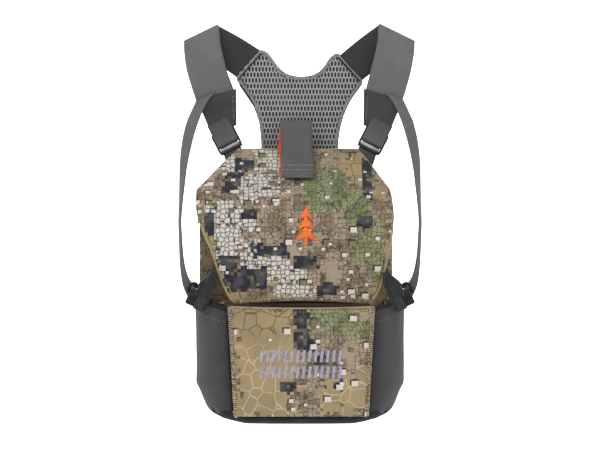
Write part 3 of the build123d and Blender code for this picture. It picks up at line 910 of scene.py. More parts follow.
hem_low = lid_across(0.0, 40, (0, 1.2, 0.6))[1:-1]
rim_path = even(spline(even(lid_side_edge(-1)[::-1] + hem_low + lid_side_edge(1), 3.0), 500), 1.4)
for _ in range(4):
    inner = [(a + 2 * b + c) / 4 for a, b, c in zip(rim_path, rim_path[1:], rim_path[2:])]
    rim_path = [rim_path[0]] + inner + [rim_path[-1]]
finish_piece(tube("lid_hem_binding", rim_path, 1.3, 10), TANEDGE, "lid", ["lid_hem"])


def lid_line(inset, low, high):
    """A line seen from the front that follows the lid's lower edge, inset from it."""
    shares = [k / 39 for k in range(40)]
    line = []
    for x in (lerp(-66 + inset, 66 - inset, f) + 2.5 for f in shares):
        line.append(Vector((x, -120, low + 3.0 * (1 - (x / 70) ** 2) - 1.4)))
    for side in (-1, 1):
        ends = (high, low + 5)[::-side]
        edge = [Vector((table(z, LID_MIDDLE) + side * (table(z, LID_HALF) - inset), -120, z))
                for z in (lerp(*ends, f) for f in shares)]
        line = edge + line if side < 0 else line + edge
    return line


stitches("lid_hem_stitches", LID_TREE, lid_line(4.0, HEM_Z + 4.6, 186), THREADTAN, "lid", "tan_binding",
         2.4, 1.5, 0.42)
top_line = [Vector((x, lid_centre(RUN_ALL - 3.5)[0], 400)) for x in range(-56, 50, 2)]
stitches("lid_top_stitches", LID_TREE, top_line, THREADTAN, "lid", "tan_binding", 2.4, 1.5, 0.4, (0, 0, -1))
top_edge = even(lid_across(1.0, 50, (0, 0.3, -1.0)), 1.5)
finish_piece(tube("lid_top_binding", top_edge, 1.6, 10), TANEDGE, "lid")
soft_piece("lid_lining_cloth", "lid_lining", 0.8, 4, BROWNLINING, "lid",
           lambda c: (c.x, c.y + 0.6 * wave(c.x, 5, c.z, 25), c.z))
soft_piece("lid_lip_cloth", "lid_lip", 0.8, 5, BROWNLINING, "lid")

# ---------------------------------------------------------------- pull tab
TAB_L, TAB_R = -20.0, 12.2


def tab_edges(left, right, lift, low_in=2.4, inner=False):
    """Both edges of the pull tab, from its tip on the lid, up, over the fold and down behind."""
    def above_lid(y, gap):
        return Vector((0, y, 222 + 0.6395 * (y - FRONT_Y))) + SLOPE_OUT * (lift + gap)

    tip = above_lid(-12.0, 4.0)
    rise = [tip, tip + Vector((0, 4, 3.5)) + SLOPE_OUT * 0.6, above_lid(4.0, 2.6), above_lid(18.0, 2.8),
            above_lid(29.0, 3.4), Vector((0, 33.0 - lift, 287)), Vector((0, 34.0 - lift, 300))]
    fold = [(36.8, 304.6), (40.2, 300.5), (40.1, 284), (39.9, 271)]
    first = 0
    if inner:
        fold = [(36.5, 302.6), (39.0, 299.5), (38.9, 284), (38.8, 271.5)]
        first = 4
    edge_a, edge_b = [], []
    for k, p in enumerate(rise[first:] + [Vector((0, y, z)) for y, z in fold]):
        share = min(1.0, (k + first) / 6)
        edge_a.append(p + Vector((lerp(left + low_in, left, share), 0, 0)))
        edge_b.append(p + Vector((lerp(right + low_in, right, share), 0, 0)))
    return edge_a, edge_b


tab = ribbon("pull_tab_webbing", *tab_edges(TAB_L, TAB_R, 0.6), 1.7, 1.6, belly=0.4)
finish_piece(tab, WEB_TAB, "lid", ["pull_tab"])
low_edges = tab_edges(TAB_L - 1.5, TAB_R - 6.0, -0.5)
tab_tuck = ribbon("pull_tab_lining_low", low_edges[0][1:5], low_edges[1][1:5], 0.8, 1.6)
finish_piece(tab_tuck, ORANGE, "lid")
inner_edges = tab_edges(TAB_L - 0.6, TAB_R - 2.0, -0.7, low_in=-5.5, inner=True)
inner_tab = ribbon("pull_tab_lining", *inner_edges, 0.9, 1.6)
finish_piece(inner_tab, ORANGE, "lid", ["tab_lining"])
TAB_TREE = surface_of(tab)
for row, z in enumerate((259.4, 254.6)):
    line = [(x, -100, z) for x in range(-18, 15)]
    stitches("tab_stitches_%d" % row, TAB_TREE, line, THREADGREY, "lid", "grey_webbing", 2.3, 0.9, 0.42)

# ---------------------------------------------------------------- front pocket
POCKET_Z0 = 8.5
POCKET_Z1 = 117.5


def pocket_half(z):
    return lerp(65.8, 72.2, (z - POCKET_Z0) / (POCKET_Z1 - POCKET_Z0))


def pocket_point(s, t):
    wrap = 0.09
    under = 0.07
    f = min(1.0, max(0.0, (s - wrap) / (1 - 2 * wrap)))
    c = 2 * f - 1
    if t < under:
        z, y = POCKET_Z0 - 0.5, lerp(-43.0, -57.0, t / under)
        run = POCKET_Z0 - 14 * (1 - t / under)
    else:
        g = (t - under) / (1 - under)
        top = POCKET_Z1 - 1.6 * (1 - c * c)
        z = lerp(POCKET_Z0, top, g)
        y = -58.0 - 2.2 * (1 - c * c) * math.sin(math.pi * min(1, g * 1.05)) + 1.2 * g
        run = z
    half = pocket_half(z)
    x = 1.3 + c * half
    flat_x = x
    if s < wrap or s > 1 - wrap:
        side = -1 if s < 0.5 else 1
        back = (wrap - s) / wrap if side < 0 else (s - 1 + wrap) / wrap
        y = lerp(y, -42.0, back) if y < -42 else y
        x -= side * 1.5 * back
        flat_x += side * 15 * back
    else:
        y -= 0.5 * wave(x, 3, z, 22) + 0.3 * wave(x, 90, z, 9)
    return Vector((x, y, z)), (flat_x, run)


pocket = grid("front_pocket_cloth", 74, 96, pocket_point)
thicken(pocket, 1.8, relax=2)
finish_piece(pocket, [CAMO, BROWNLINING], "pack", ["front_pocket"])
POCKET_TREE = surface_of(pocket)
soft_piece("pocket_lining_cloth", "pocket_lining", 0.75, 2, BROWNLINING, "pack")


def overlock(name, line, radius, pitch, body, replaces):
    """Threads wound over a seam edge."""
    path = even(line, 0.25)
    total = length_of(path)
    coil = []
    for i, p in enumerate(path):
        cross = heading(path, i).cross(FORWARD).normalized()
        a = 2 * math.pi * (total * i / (len(path) - 1)) / pitch
        r = radius * (1 + 0.12 * wave(p.x, p.y, p.z, 4))
        coil.append(p + cross * (math.cos(a) * r) + FORWARD * (math.sin(a) * r * 0.55))
    wound = tube(name + "_threads", coil, 0.55, 5)
    finish_piece(wound, THREADROPE, body, replaces)
    core = tube(name + "_core", even(line, 2.0), radius * 0.92, squash=0.5)
    cloth = plain_cloth(name + "_cloth", srgb(132, 112, 84), dark=0.55, pitch=1.0, blotch=4.0)
    finish_piece(core, cloth, body)


for side, name in SIDES:
    line = []
    for k in range(30):
        z = lerp(POCKET_Z0 + 0.5, POCKET_Z1 + 0.6, k / 29)
        x = 1.3 + side * (pocket_half(z) - 0.8)
        hit = onto(POCKET_TREE, (x - side * 1.2, 0, z - 1))
        y = hit[0].y if hit else -57.0
        line.append((x, y - 0.2, z))
    overlock("pocket_edge_" + name, line, 2.0, 2.1, "pack", ["pocket_binding_" + name])
overlock("lid_lower_edge", [p + Vector((0, -1.4, 0.9)) for p in hem_low], 1.15, 2.2, "lid", [])
edge = []
for k in range(41):
    x = lerp(-70, 72.5, k / 40)
    crown = 1 - ((x - 1.3) / 73) * ((x - 1.3) / 73)
    edge.append(Vector((x, -56.0 - 2.2 * crown * math.sin(math.pi * 0.97), POCKET_Z1 - 1.6 * crown)))
top_edge = tube("pocket_top_edge", even(edge, 1.5), 0.95)
finish_piece(top_edge, TANEDGE, "pack", ["pocket_top_binding"])
line = [Vector((x, -120, POCKET_Z1 - 1.6 * (1 - (x / 73) ** 2) - 3.4)) for x in range(-68, 71, 2)]
stitches("pocket_top_stitches", POCKET_TREE, line, THREADTAN, "pack", "tan_binding", 2.4, 1.5, 0.34)


# ---------------------------------------------------------------- embroidered marks
def satin(name, tree, shapes, material, body, replaces, lift=0.7, pitch=0.62):
    """Satin-stitch fill: each outline is filled with level raised threads."""
    rings, sides = 6, 5
    verts, faces = [], []
    for outline in shapes:
        corners = [Vector(corner) for corner in outline]
        heights = [p.y for p in corners]
        level = min(heights) + pitch / 2
        while level < max(heights):
            cuts = []
            for a, b in zip(corners, corners[1:] + corners[:1]):
                da, db = a.y - level, b.y - level
                if (da < 0) != (db < 0):
                    cuts.append((a + (b - a) * (da / (da - db))).x)
            cuts.sort()
            for cut in zip(cuts[::2], cuts[1::2]):
                ends = [onto(tree, (x, 0, level)) for x in cut]
                if None in ends or (ends[1][0] - ends[0][0]).length < 0.3:
                    continue
                normal = (ends[0][1] + ends[1][1]).normalized()
                wide = (ends[1][0] - ends[0][0]).cross(normal).normalized()
                faces += closed_tube(len(verts), rings, sides)
                for k in range(rings):
                    f = k / (rings - 1)
                    arch = math.sin(math.pi * (0.08 + 0.84 * f)) ** 0.5
                    place = ends[0][0].lerp(ends[1][0], f)
                    real = onto(tree, (place.x, 0, place.z))
                    place = (real[0] if real else place) + normal * (lift * arch - 0.25)
                    for m in range(sides):
                        a = math.pi * m / (sides - 1)
                        verts.append(place + wide * (math.cos(a) * pitch * 0.6)
                                     + normal * (math.sin(a) * 0.3 - 0.05))
            level += pitch
    return finish_piece(new_object(name, verts, faces), material, body, replaces)


TREE_X, TREE_Z = 6.0, 197.0
TRUNK_HALF = 1.3
tiers = [[(-w, lo), (0, hi), (w, lo), (0, lo + 4.0)]
         for lo, hi, w in ((7, 21, 7.0), (-3, 11, 9.5), (-14, 1.5, 12.0))]
tiers.append([(-TRUNK_HALF, -18), (-TRUNK_HALF, -10.5), (TRUNK_HALF, -10.5), (TRUNK_HALF, -18)])
tiers = [[(TREE_X + x, TREE_Z + z) for x, z in tier] for tier in tiers]
satin("lid_tree_mark", LID_TREE, tiers, THREADORANGE, "lid", ["lid_emblem"])
BAR_PITCH, BAR_HIGH, BAR_WIDE, BAR_LEAN = 6.0, 11.5, 3.0, 1.4
bars = []
for z in (62.5, 46.5):
    for k in range(14):
        x = -40.5 + BAR_PITCH * k
        bars.append([(x, z), (x + BAR_LEAN, z + BAR_HIGH), (x + BAR_LEAN + BAR_WIDE, z + BAR_HIGH),
                     (x + BAR_WIDE, z)])
satin("pocket_bar_mark", POCKET_TREE, bars, THREADPALE, "pack", ["pocket_mark"], lift=0.6)


# ---------------------------------------------------------------- pouch walls
CORNER_R = 24
CORNER_X, CORNER_Y = 71.5, -14
WALL_SIDE, WALL_CORNER, WALL_FRONT = 54.0, CORNER_R * math.pi / 2, 2 * CORNER_X
WALL_RUN = 2 * WALL_SIDE + 2 * WALL_CORNER + WALL_FRONT


def body_path(s, bulge):
    """(x, y) round the pouch from its left rear edge, past the front, to its right rear edge."""
    d = s * WALL_RUN
    flip = 1
    if d > WALL_SIDE + WALL_CORNER + WALL_FRONT / 2:
        d = WALL_RUN - d
        flip = -1
    if d < WALL_SIDE:
        rear = smooth((22 - d) / 22)
        out = bulge * (1 - rear) * math.sin(math.pi * min(1, (d + 20) / (WALL_SIDE + 40)))
        x, y = -CORNER_X - CORNER_R - out + 7.5 * rear, 42 - d * 56 / WALL_SIDE
    elif d < WALL_SIDE + WALL_CORNER:
        a = (d - WALL_SIDE) / CORNER_R
        x, y = -CORNER_X - math.cos(a) * (CORNER_R + bulge), CORNER_Y - math.sin(a) * CORNER_R
    else:
        x, y = -CORNER_X + (d - WALL_SIDE - WALL_CORNER), CORNER_Y - CORNER_R
    return flip * x, y


def wall_point(s, t):
    """The right side of the pouch bulges less than the left one and leans in further up."""
    x, y = body_path(s, 0)
    high = min(196 + (y + 38) / 78 * 62, 234)
    z = lerp(12, lerp(120.5, high, smooth((abs(x) - 64) / 14)), t)
    above_lid_edge = z - 195
    swell = 5.5 * (1 - smooth(above_lid_edge / 40)) if x < 0 else -3.5 - 4.5 * smooth(above_lid_edge / 30)
    x, y = body_path(s, smooth((z - 60) / 60) * swell)
    x *= table(z, [(12, 0.87), (24, 0.94), (36, 1.0)])
    if abs(x) < 72:
        y += 0.5 * wave(x, y, z, 26)
    if abs(x) > 80:
        x += 0.9 * wave(x, y, z, 24)
    return Vector((x, y, z)), ((s - 0.5) * 326.4 - 14 * (s < 0.5), z)


walls = grid("pouch_walls", 72, 190, wall_point, shade=lambda s, t: lerp(0.1, 0.85, smooth((s - 0.5) / 0.3)))
thicken(walls, 2.4)
finish_piece(walls, [CAMO, BROWNLINING], "pack",
             ["side_wall_left", "side_wall_right", "front_wall"])
for side, name in SIDES:
    edge = [wall_point(0.5 + side * lerp(0.17, 0.5, k / 90), 1.0)[0] + Vector((0, 0.8, 0.4))
            for k in range(91)]
    binding = tube("wall_top_binding_" + name, even(edge, 1.5), 1.7, up=Vector((side, 0.3, 0)))
    finish_piece(binding, TANEDGE, "pack")

# ---------------------------------------------------------------- stretch side pockets
SIDE_OUT = [(8.5, 84), (10, 87.5), (14, 92), (18.4, 94.8), (27, 98.4), (34, 101), (41, 104.7), (85, 104.4),
            (115, 105), (125, 104)]
SIDE_STRAIGHT, SIDE_ARC, SIDE_ARC_X = 58.0, 44.0, 76


def side_top(x):
    return table(abs(x), [(73, 116.5), (88, 121.0), (100, 124.2), (104, 125.0)])


def side_place(side, s, z, lift=0.0):
    """A point on a side pocket; s runs from its rear edge to where it meets the front pocket."""
    half = table(z, SIDE_OUT) + lift
    front = SIDE_ARC_X - (pocket_half(max(z, 9)) + 1.2)
    d = s * (SIDE_STRAIGHT + SIDE_ARC + front)
    if d < SIDE_STRAIGHT:
        x, y = half - 9.0 * smooth((9 - d) / 9), 41.5 - d * 59.5 / SIDE_STRAIGHT
    elif d < SIDE_STRAIGHT + SIDE_ARC:
        a = (d - SIDE_STRAIGHT) / SIDE_ARC * math.pi / 2
        x, y = SIDE_ARC_X + max(half - SIDE_ARC_X, 2) * math.cos(a), -18 - (28 + lift) * math.sin(a)
    else:
        x, y = SIDE_ARC_X - (d - SIDE_STRAIGHT - SIDE_ARC), -46.0 - lift
    if z < 24:
        y = lerp(y * 0.93, y, smooth((z - 8) / 16))
    return Vector((side * x, y, z)), d


def side_maker(side, low_gap, top_gap, lift):
    """The pocket's cloth, or, with low_gap, only a band below its slanted top edge."""
    def point(s, t):
        u = s if side < 0 else 1 - s
        edge = side_top(side_place(side, u, 118)[0].x)
        z = lerp(8.5 if low_gap is None else edge + low_gap, edge + top_gap, t)
        p, d = side_place(side, u, z, lift)
        n = Vector((p.x - side * 60, p.y + 10, 0)).normalized()
        gathers = 0.5 * math.sin(d * 0.35 + 3 * wave(0, d, z, 40)) * smooth((z - 85) / 30)
        p += n * (0.7 * wave(p.x, p.y, z, 30) + gathers)
        if u > 0.97:
            p.y += 1.6 * (u - 0.97) / 0.03
        return p, (d, z)
    return point


for side, name in SIDES:
    knit = grid("side_pocket_knit_" + name, 48, 72, side_maker(side, None, -2.6, 0.0), thick=1.6)
    finish_piece(knit, KNIT, "pack", ["side_pocket_" + name])
    hem = grid("side_elastic_" + name, 7, 90, side_maker(side, -4.0, 0.3, 0.9), thick=3.2)
    modify(hem, "SMOOTH", iterations=2)
    apply_modifiers(hem)
    finish_piece(hem, ELASTIC, "pack", ["side_hem_" + name])
    tree = surface_of(knit)
    for part, start, end, aim in (
            ("", (side * 98, -120, 108.5), (side * 71.5, -120, 101.5), (0, 1, 0)),
            ("rear_", (side * 200, 38, 108.5), (side * 200, -16, 108.5), (-side, 0, 0))):
        stitches("side_seam_" + part + name, tree, straight(start, end, 40), THREADGREY, "pack",
                 "stretch_knit", 1.5, 2.6, 0.3, aim)


# ---------------------------------------------------------------- base and back
BASE_HALF = [(0, 0.05), (30, 0.1), (54, 0.4), (64, 2.4), (76, 5.6), (85.5, 10), (89, 16), (92, 24), (95, 36)]
BASE_OUTLINE = [(-x, z) for x, z in BASE_HALF[:0:-1]] + BASE_HALF
BASE_NOSE_Y = [(0.0, -37.0), (0.05, -42.5), (0.09, -44.8), (0.13, -45.6), (0.17, -44.6), (0.22, -41.5),
               (1.0, 40.0)]
BASE_NOSE_Z = [(0.0, 8.2), (0.05, 8.2), (0.09, 6.4), (0.13, 3.6), (0.17, 1.2), (0.22, 0.0), (1.0, 0.0)]


def base_point(s, t):
    """The panel under the pouch, with its front edge rolled up and its sides turned up."""
    f = s * (len(BASE_OUTLINE) - 1)
    k = min(int(f), len(BASE_OUTLINE) - 2)
    x, z = [lerp(a, b, f - k) for a, b in zip(BASE_OUTLINE[k], BASE_OUTLINE[k + 1])]
    reach = 1 - smooth((abs(x) - 76) / 10)
    y, rise = table(t, BASE_NOSE_Y), table(t, BASE_NOSE_Z)
    if y < -36:
        y = lerp(-36, y, reach)
    z += rise * (0.3 + 0.7 * reach)
    return Vector((x, y, z + 0.15 * (wave(x, y, 0, 20) + 1) * (z > 0.5))), (x, y)


base = grid("base_cloth_panel", 60, 90, base_point)
thicken(base, 1.8, offset=1.0, lined=False)
finish_piece(base, BASECLOTH, "pack", ["base_panel"])
for _, name in SIDES:
    soft_piece("corner_cloth_" + name, "corner_panel_" + name, 0.9, 3, BASECLOTH, "pack")
soft_piece("back_cloth", "back_panel", 1.6, 3, BASECLOTH, "pack",
           lambda c: (c.x, c.y + 0.5 * wave(c.x, 7, c.z, 30), c.z))


def quilted(c):
    """Foam sewn down along channels."""
    half_wide, half_high, middle_z = 75, 95, 128
    away = [abs(c.x - x) for x in (-26, 26)] + [abs(c.z - z) for z in (70, middle_z, 186)]
    depth = max(0.0, 1 - min(away) / 5)
    edge = min(half_wide - abs(c.x), half_high - abs(c.z - middle_z))
    y = c.y
    if y > 46.5:
        y -= 1.6 * smooth(depth) + 0.8 * (1 - smooth(edge / 12))
        y += 0.35 * wave(c.x, 3, c.z, 16)
    return c.x, y, c.z


def pad_cloth(name):
    net = Net(name, rough=0.85, specular=0.3)
    place = net.vector("MULTIPLY", net.cloth(), (1.0, 0.62, 1.0))
    hole = net.cells(place, 1 / 2.6, "F1", 0.15)
    open_part = net.step(hole, 0.42, 0.28)
    tone = net.mix(open_part, srgb(104, 104, 106), srgb(30, 30, 32))
    fuzz = net.noise(net.position(), 1.8, 3)
    tone = net.mix(net.mul(fuzz, 0.4), tone, net.tint(tone, 0.6))
    return net.end(tone, net.bump(hole, 0.6, 0.0008))


pad = puffed(soft_copy("back_pad_mesh", ["back_pad"], 2.2, 3), 1.5)
reshape(pad, quilted)
finish_piece(pad, pad_cloth("pad_mesh"), "pack", ["back_pad"])


def foam_skin(name):
    net = Net(name, rough=0.95, specular=0.2)
    pores = net.cells(net.position(), 1 / 1.3, "F1", 1.0)
    # Painted shade: the foam's pores are painted darker than its surface.
    tone = net.mix(net.step(pores, 0.1, 0.5), srgb(34, 34, 36), srgb(78, 78, 80))
    return net.end(tone, net.bump(pores, 0.8, 0.0006))


foam = soft_copy("base_foam_pad", ["base_foam"], 2.4, 4,
                 lambda c: (c.x, c.y, c.z + 0.4 * wave(c.x, c.y, 0, 18)))
foam = puffed(foam, 1.0)
finish_piece(foam, foam_skin("open_cell_foam"), "pack", ["base_foam"])
for place, body in (("lid", "lid"), ("back", "pack")):
    for _, side_name in SIDES:
        name = "%s_magnet_%s" % (place, side_name)
        soft_piece(name + "_disc", name, 0.45, 2, STEEL, body)
soft_piece("hinge_webbing", "hinge_strip", 0.8, 3, BROWNLINING, "pack")

# ---------------------------------------------------------------- yoke
YOKE_RIGHT = [(2.7, 346.6), (12, 347.8), (19, 351), (25, 357), (29, 364), (33.5, 369), (38, 370.5), (50, 357),
              (62.8, 343.5), (61.5, 340), (55.5, 332), (49, 322.5), (43, 309), (39.5, 296), (37.5, 283),
              (36.8, 260), (36, 195), (30, 182), (18, 175)]
YOKE_LEFT = [(-18, 175), (-30, 182), (-36, 195), (-37, 260), (-38.3, 286), (-39.8, 301), (-45.8, 320),
             (-54.6, 334), (-60.4, 341), (-64, 346.5), (-52, 360), (-40, 374), (-34, 372), (-29, 366),
             (-24, 358.5), (-18.5, 352.5), (-12, 348.8), (-5, 347)]


def inset(points, amount):
    """A closed outline moved inwards."""
    out = []
    n = len(points)
    for i in range(n):
        a, b, c = Vector(points[i - 1]), Vector(points[i]), Vector(points[(i + 1) % n])
        d1, d2 = (b - a).normalized(), (c - b).normalized()
        n1, n2 = Vector((d1.y, -d1.x)), Vector((d2.y, -d2.x))
        mid = (n1 + n2).normalized()
        out.append(b + mid * (amount / max(0.5, mid.dot(n1))))
    return out


def inside(points, x, z):
    hit = False
    for a, b in zip(points, points[1:] + points[:1]):
        if (a[1] > z) != (b[1] > z) and x < (b[0] - a[0]) * (z - a[1]) / (b[1] - a[1]) + a[0]:
            hit = not hit
    return hit


yoke_outline = [tuple(seen(x, 55, z).xz) for x, z in YOKE_RIGHT + YOKE_LEFT]


def yoke_y(x, z):
    return 55.2 + 0.5 * wave(x, 0, z, 40)


cells_outline = inset(yoke_outline, 1.9)
PITCH_X, PITCH_Z = 3.45, 5.75
hexagon = [(0.5, 0.36), (0.5, -0.36), (0, -0.64), (-0.5, -0.36), (-0.5, 0.36), (0, 0.64)]
ring = []
for (ax, az), (bx, bz) in zip(hexagon, hexagon[1:] + hexagon[:1]):
    ring += [(ax, az), ((ax + bx) / 2, (az + bz) / 2)]
verts, faces = [], []
for row in range(21):
    z0 = 255 + row * PITCH_Z
    for col in range(-20, 21):
        x0 = (col + 0.5 * (row % 2)) * PITCH_X
        if not inside(cells_outline, x0, z0):
            continue
        faces += bridge(len(verts), 4, len(ring))
        for hx, hz in ring:
            x, z = x0 + hx * PITCH_X, z0 + hz * PITCH_Z
            verts.append((x, yoke_y(x, z) + 0.45, z))
        for size, deep in ((0.97, -0.1), (0.80, 0.1), (0.75, 1.5)):
            for hx, hz in ring:
                a = math.atan2(hz / 0.6, hx / 0.5)
                x = x0 + lerp(hx, math.cos(a) * 0.47, 0.55) * PITCH_X * size
                z = z0 + lerp(hz, math.sin(a) * 0.58, 0.55) * PITCH_Z * min(0.98, size + 0.06)
                verts.append((x, yoke_y(x, z) + deep, z))
lattice = new_object("yoke_mesh_face", verts, faces, [(v[0], v[2]) for v in verts])
finish_piece(lattice, MESH, "pack")
soft_piece("yoke_mesh_core", "yoke_mesh", 0.9, 3, MESHDARK, "pack",
           lambda c: (c.x, max(c.y, 57.2), c.z))

fill = inset(yoke_outline, 1.0)
count = len(fill)
verts = [(p[0], 56.6 + deep, p[1]) for deep in (0, 0.9) for p in fill]
faces = [tuple(range(count)), tuple(range(2 * count - 1, count - 1, -1))]
faces += [(k, k + count, (k + 1) % count + count, (k + 1) % count) for k in range(count)]
ground = new_object("yoke_mesh_ground", verts, faces, [(v[0], v[2]) for v in verts])
finish_piece(ground, MESHDARK, "pack")


def outline_path(amount, depth, step=1.2):
    pts = inset(yoke_outline, amount)
    ring = [Vector((p[0], yoke_y(p[0], p[1]) + depth, p[1])) for p in pts]
    path = even(ring + [ring[0]], step)
    for _ in range(6):
        path = [(path[i - 1] + 2 * p + path[(i + 1) % len(path)]) / 4 for i, p in enumerate(path)]
    return path + [path[0]]


rim = tube("yoke_rim", [p + Vector((0, 0.25 * wave(p.x, 40, p.z, 3.1), 0.35 * wave(p.x, 0, p.z, 3.3)))
                        for p in outline_path(1.3, 0.7, 0.8)], 1.45, 10, squash=0.8)
finish_piece(rim, MESHRIM, "pack", ["yoke_binding"])
finish_piece(tube("yoke_outer_edge", outline_path(0.2, 1.7), 1.1, 8), ELASTIC, "pack")
for name, points in (("left", [(-61.5, 344.2), (-50.5, 357.4), (-39.2, 370.0)]),
                     ("right", [(38.2, 366.6), (50, 353.8), (60.4, 342.2)])):
    crease = even([seen(x, 54.3, z) for x, z in points], 1.5)
    finish_piece(tube("yoke_strap_crease_" + name, crease, 0.62), ELASTIC, "pack")
soft_piece("yoke_back_cloth", "yoke_backing", 0.9, 3, BASECLOTH, "pack")

# ---------------------------------------------------------------- shoulder straps
# For each side, the front of the outer and the inner edge, each with the place where its rear part ends.
STRAP_EDGES = {
    -1: (([(103.5, 322.0), (108.5, 337), (113.4, 354), (115.8, 370), (116.2, 381.4)], (59.0, 343.5)),
         ([(65.4, 332.7), (72.8, 352.6), (76.5, 366), (79.8, 382.4), (81.2, 398.4)], (34.5, 370.0))),
    1: (([(102.0, 321.5), (106.5, 336), (110.8, 352), (114.2, 370), (114.8, 381.4)], (58.0, 340.5)),
        ([(65.2, 332.7), (71.5, 357), (75.5, 372), (78.0, 387.4), (78.4, 399.2)], (35.0, 364.5))),
}
STRAP_FRONT_Y, STRAP_REAR_Y = 47.4, 57.8
FOLD_Y, FOLD_R = 52.6, 5.2


def strap_lines(side):
    """The outer and inner edges of a folded shoulder strap, with the same number of points."""
    lines = []
    for front, rear in STRAP_EDGES[side]:
        line = []
        for i, p in enumerate(spline([Vector((x, 0, z)) for x, z in front], 30)):
            line.append(seen(p.x, STRAP_FRONT_Y - math.sin(math.pi * (i / 29)), p.z))
        crease = line[-1].copy()
        rear = seen(rear[0], STRAP_REAR_Y, rear[1])
        for i in range(1, 12):
            a = math.pi * i / 12
            line.append(Vector((crease.x + 0.5 * math.sin(a), FOLD_Y - FOLD_R * math.cos(a),
                                crease.z + 1.2 * math.sin(a))))
        for i in range(26):
            t = i / 25
            rise = math.sin(math.pi * t)
            line.append(Vector((lerp(crease.x, rear.x, t), STRAP_REAR_Y + 0.4 * rise,
                                lerp(crease.z, rear.z, t) + 1.2 * rise)))
        lines.append(mirrored(line, side))
    return lines


STRAP_SHADE = [(0.0, 0.72), (0.08, 0.84), (0.3, 0.9), (0.45, 0.92), (0.49, 0.95), (0.53, 0.4), (0.58, 0.2),
               (0.8, 0.1), (1.0, 0.06)]
for side, name in SIDES:
    strap = ribbon("shoulder_webbing_" + name, *strap_lines(side)[::-side], 1.9, 1.6,
                   shade=lambda t: table(t, STRAP_SHADE), across=14, smooth_path=False)
    finish_piece(strap, WEB, "pack", ["shoulder_strap_" + name])
    # Stitched canvas patch that joins the strap to the buckles.
    patch = soft_piece("junction_canvas_" + name, "junction_patch_" + name, 0.75, 3, CANVAS, "pack",
                       lambda c: (c.x, c.y + 0.35 * wave(c.x, 9, c.z, 9), c.z))
    tree = surface_of(patch)
    for part, thread_material, start, end, sizes in (
            ("seam", THREADDARK, (92, 315.5), (70, 329), (2.2, 1.8, 0.26)),
            ("side", THREADGREY, (68.6, 331), (67.6, 304), (1.5, 1.4, 0.24)),
            ("outer", THREADDARK, (99, 313), (87.5, 294), (1.5, 1.4, 0.24))):
        seam = straight(*((side * x, 0, z) for x, z in (start, end)), 20)
        stitches("patch_%s_%s" % (part, name), tree, seam, thread_material, "pack", "back_fabric", *sizes)

# ---------------------------------------------------------------- upper ladder locks
LOCK_TILT = math.radians(27)
LOCK_HALF = 12.2
# Webbing stations: distance up along the lock from its centre, depth y, half width.
LOOP_STATIONS = [(21, 45.2, 11.4), (14, 44.4, 11.4), (6, 44.2, 11.3), (0, 44.3, 11.2), (-3.0, 44.9, 11.2),
                 (-4.6, 46.6, 11.2), (-5.1, 48.6, 11.2), (-4.6, 51.4, 11.2), (-1.5, 53.2, 11.0),
                 (6, 53.6, 10.4), (14, 53.0, 9.9), (20, 50.4, 9.9), (24, 49.0, 9.9)]
LOOP_SHADE = [(0, 0.35), (0.12, 0.5), (0.3, 0.72), (0.36, 0.4), (0.42, 0.15), (1, 0.2)]
ANCHOR_FRONT = [(-5.6, 50.6, 9.7), (-8.4, 52.0, 9.7), (-12, 50.6, 9.9), (-14.5, 48.6, 9.9), (-22, 47.4, 11.2),
                (-32, 47.0, 11.2), (-36, 47.4, 11.0)]
ANCHOR_REAR = [(-13.2, 47.6, 9.2), (-14.6, 46.6, 9.2), (-16.5, 46.2, 9.2), (-24, 45.8, 9.2), (-34, 45.8, 9.2)]
for side, name in SIDES:
    axis = Vector((side * math.sin(LOCK_TILT), 0, math.cos(LOCK_TILT)))
    across = Vector((math.cos(LOCK_TILT), 0, -side * math.sin(LOCK_TILT)))
    centre = Vector((side * 75.0, 48.95, 286.0))
    body = "upper_lock_" + name
    lock = soft_copy("ladder_lock_" + name, [body], 0.5, 3, blocks=[
        (centre - axis * 11.2 + FORWARD * 0.8, across, axis, (LOCK_HALF, 1.9, 1.2)),
    ])
    finish_piece(lock, PLASTIC, body, [body])
    # The lock's lower bar is a real part, coloured light grey as painted sheen.
    bar_path = [centre + across * lerp(-11.0, 11.0, k / 24) - axis * 7.6 + FORWARD * 2.7 for k in range(25)]
    bar = tube("ladder_bar_" + name, bar_path, lambda t: 1.7 * min(1, 0.55 + 3 * min(t, 1 - t)), 12, 0.6)
    finish_piece(bar, SHEEN_BAR_PLASTIC, body)
    # Thin grey tubes along the lock's side rails: painted highlight lines on the black plastic.
    glint_tubes = []
    for edge in (-LOCK_HALF, LOCK_HALF):
        rail_path = [centre + across * edge + axis * lerp(-9.5, 3.5, k / 20) + FORWARD * 2.3
                     for k in range(21)]
        glint_tubes.append(tube("rail", rail_path, 0.55))
    finish_piece(join("ladder_rail_glints_" + name, glint_tubes), GLINT_PLASTIC, body)

    def lock_webbing(part, stations, thick, shade):
        edges = [[], []]
        for up, y, wide in stations:
            middle = centre + axis * up
            middle.y = y
            edges[0].append(middle - across * wide)
            edges[1].append(middle + across * wide)
        return ribbon(part, *edges, thick, 1.2, across=10, shade=shade)

    loop = lock_webbing("upper_loop_webbing_" + name, LOOP_STATIONS, 1.4, lambda t: table(t, LOOP_SHADE))
    finish_piece(loop, WEB, None, ["upper_loop_" + name])
    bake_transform(loop)
    layers = [lock_webbing("front", ANCHOR_FRONT, 1.5, lambda t: 0.42),
              lock_webbing("rear", ANCHOR_REAR, 1.4, lambda t: 0.3)]
    anchor = join("upper_anchor_webbing_" + name, layers)
    finish_piece(anchor, WEB, "pack", ["upper_anchor_" + name])

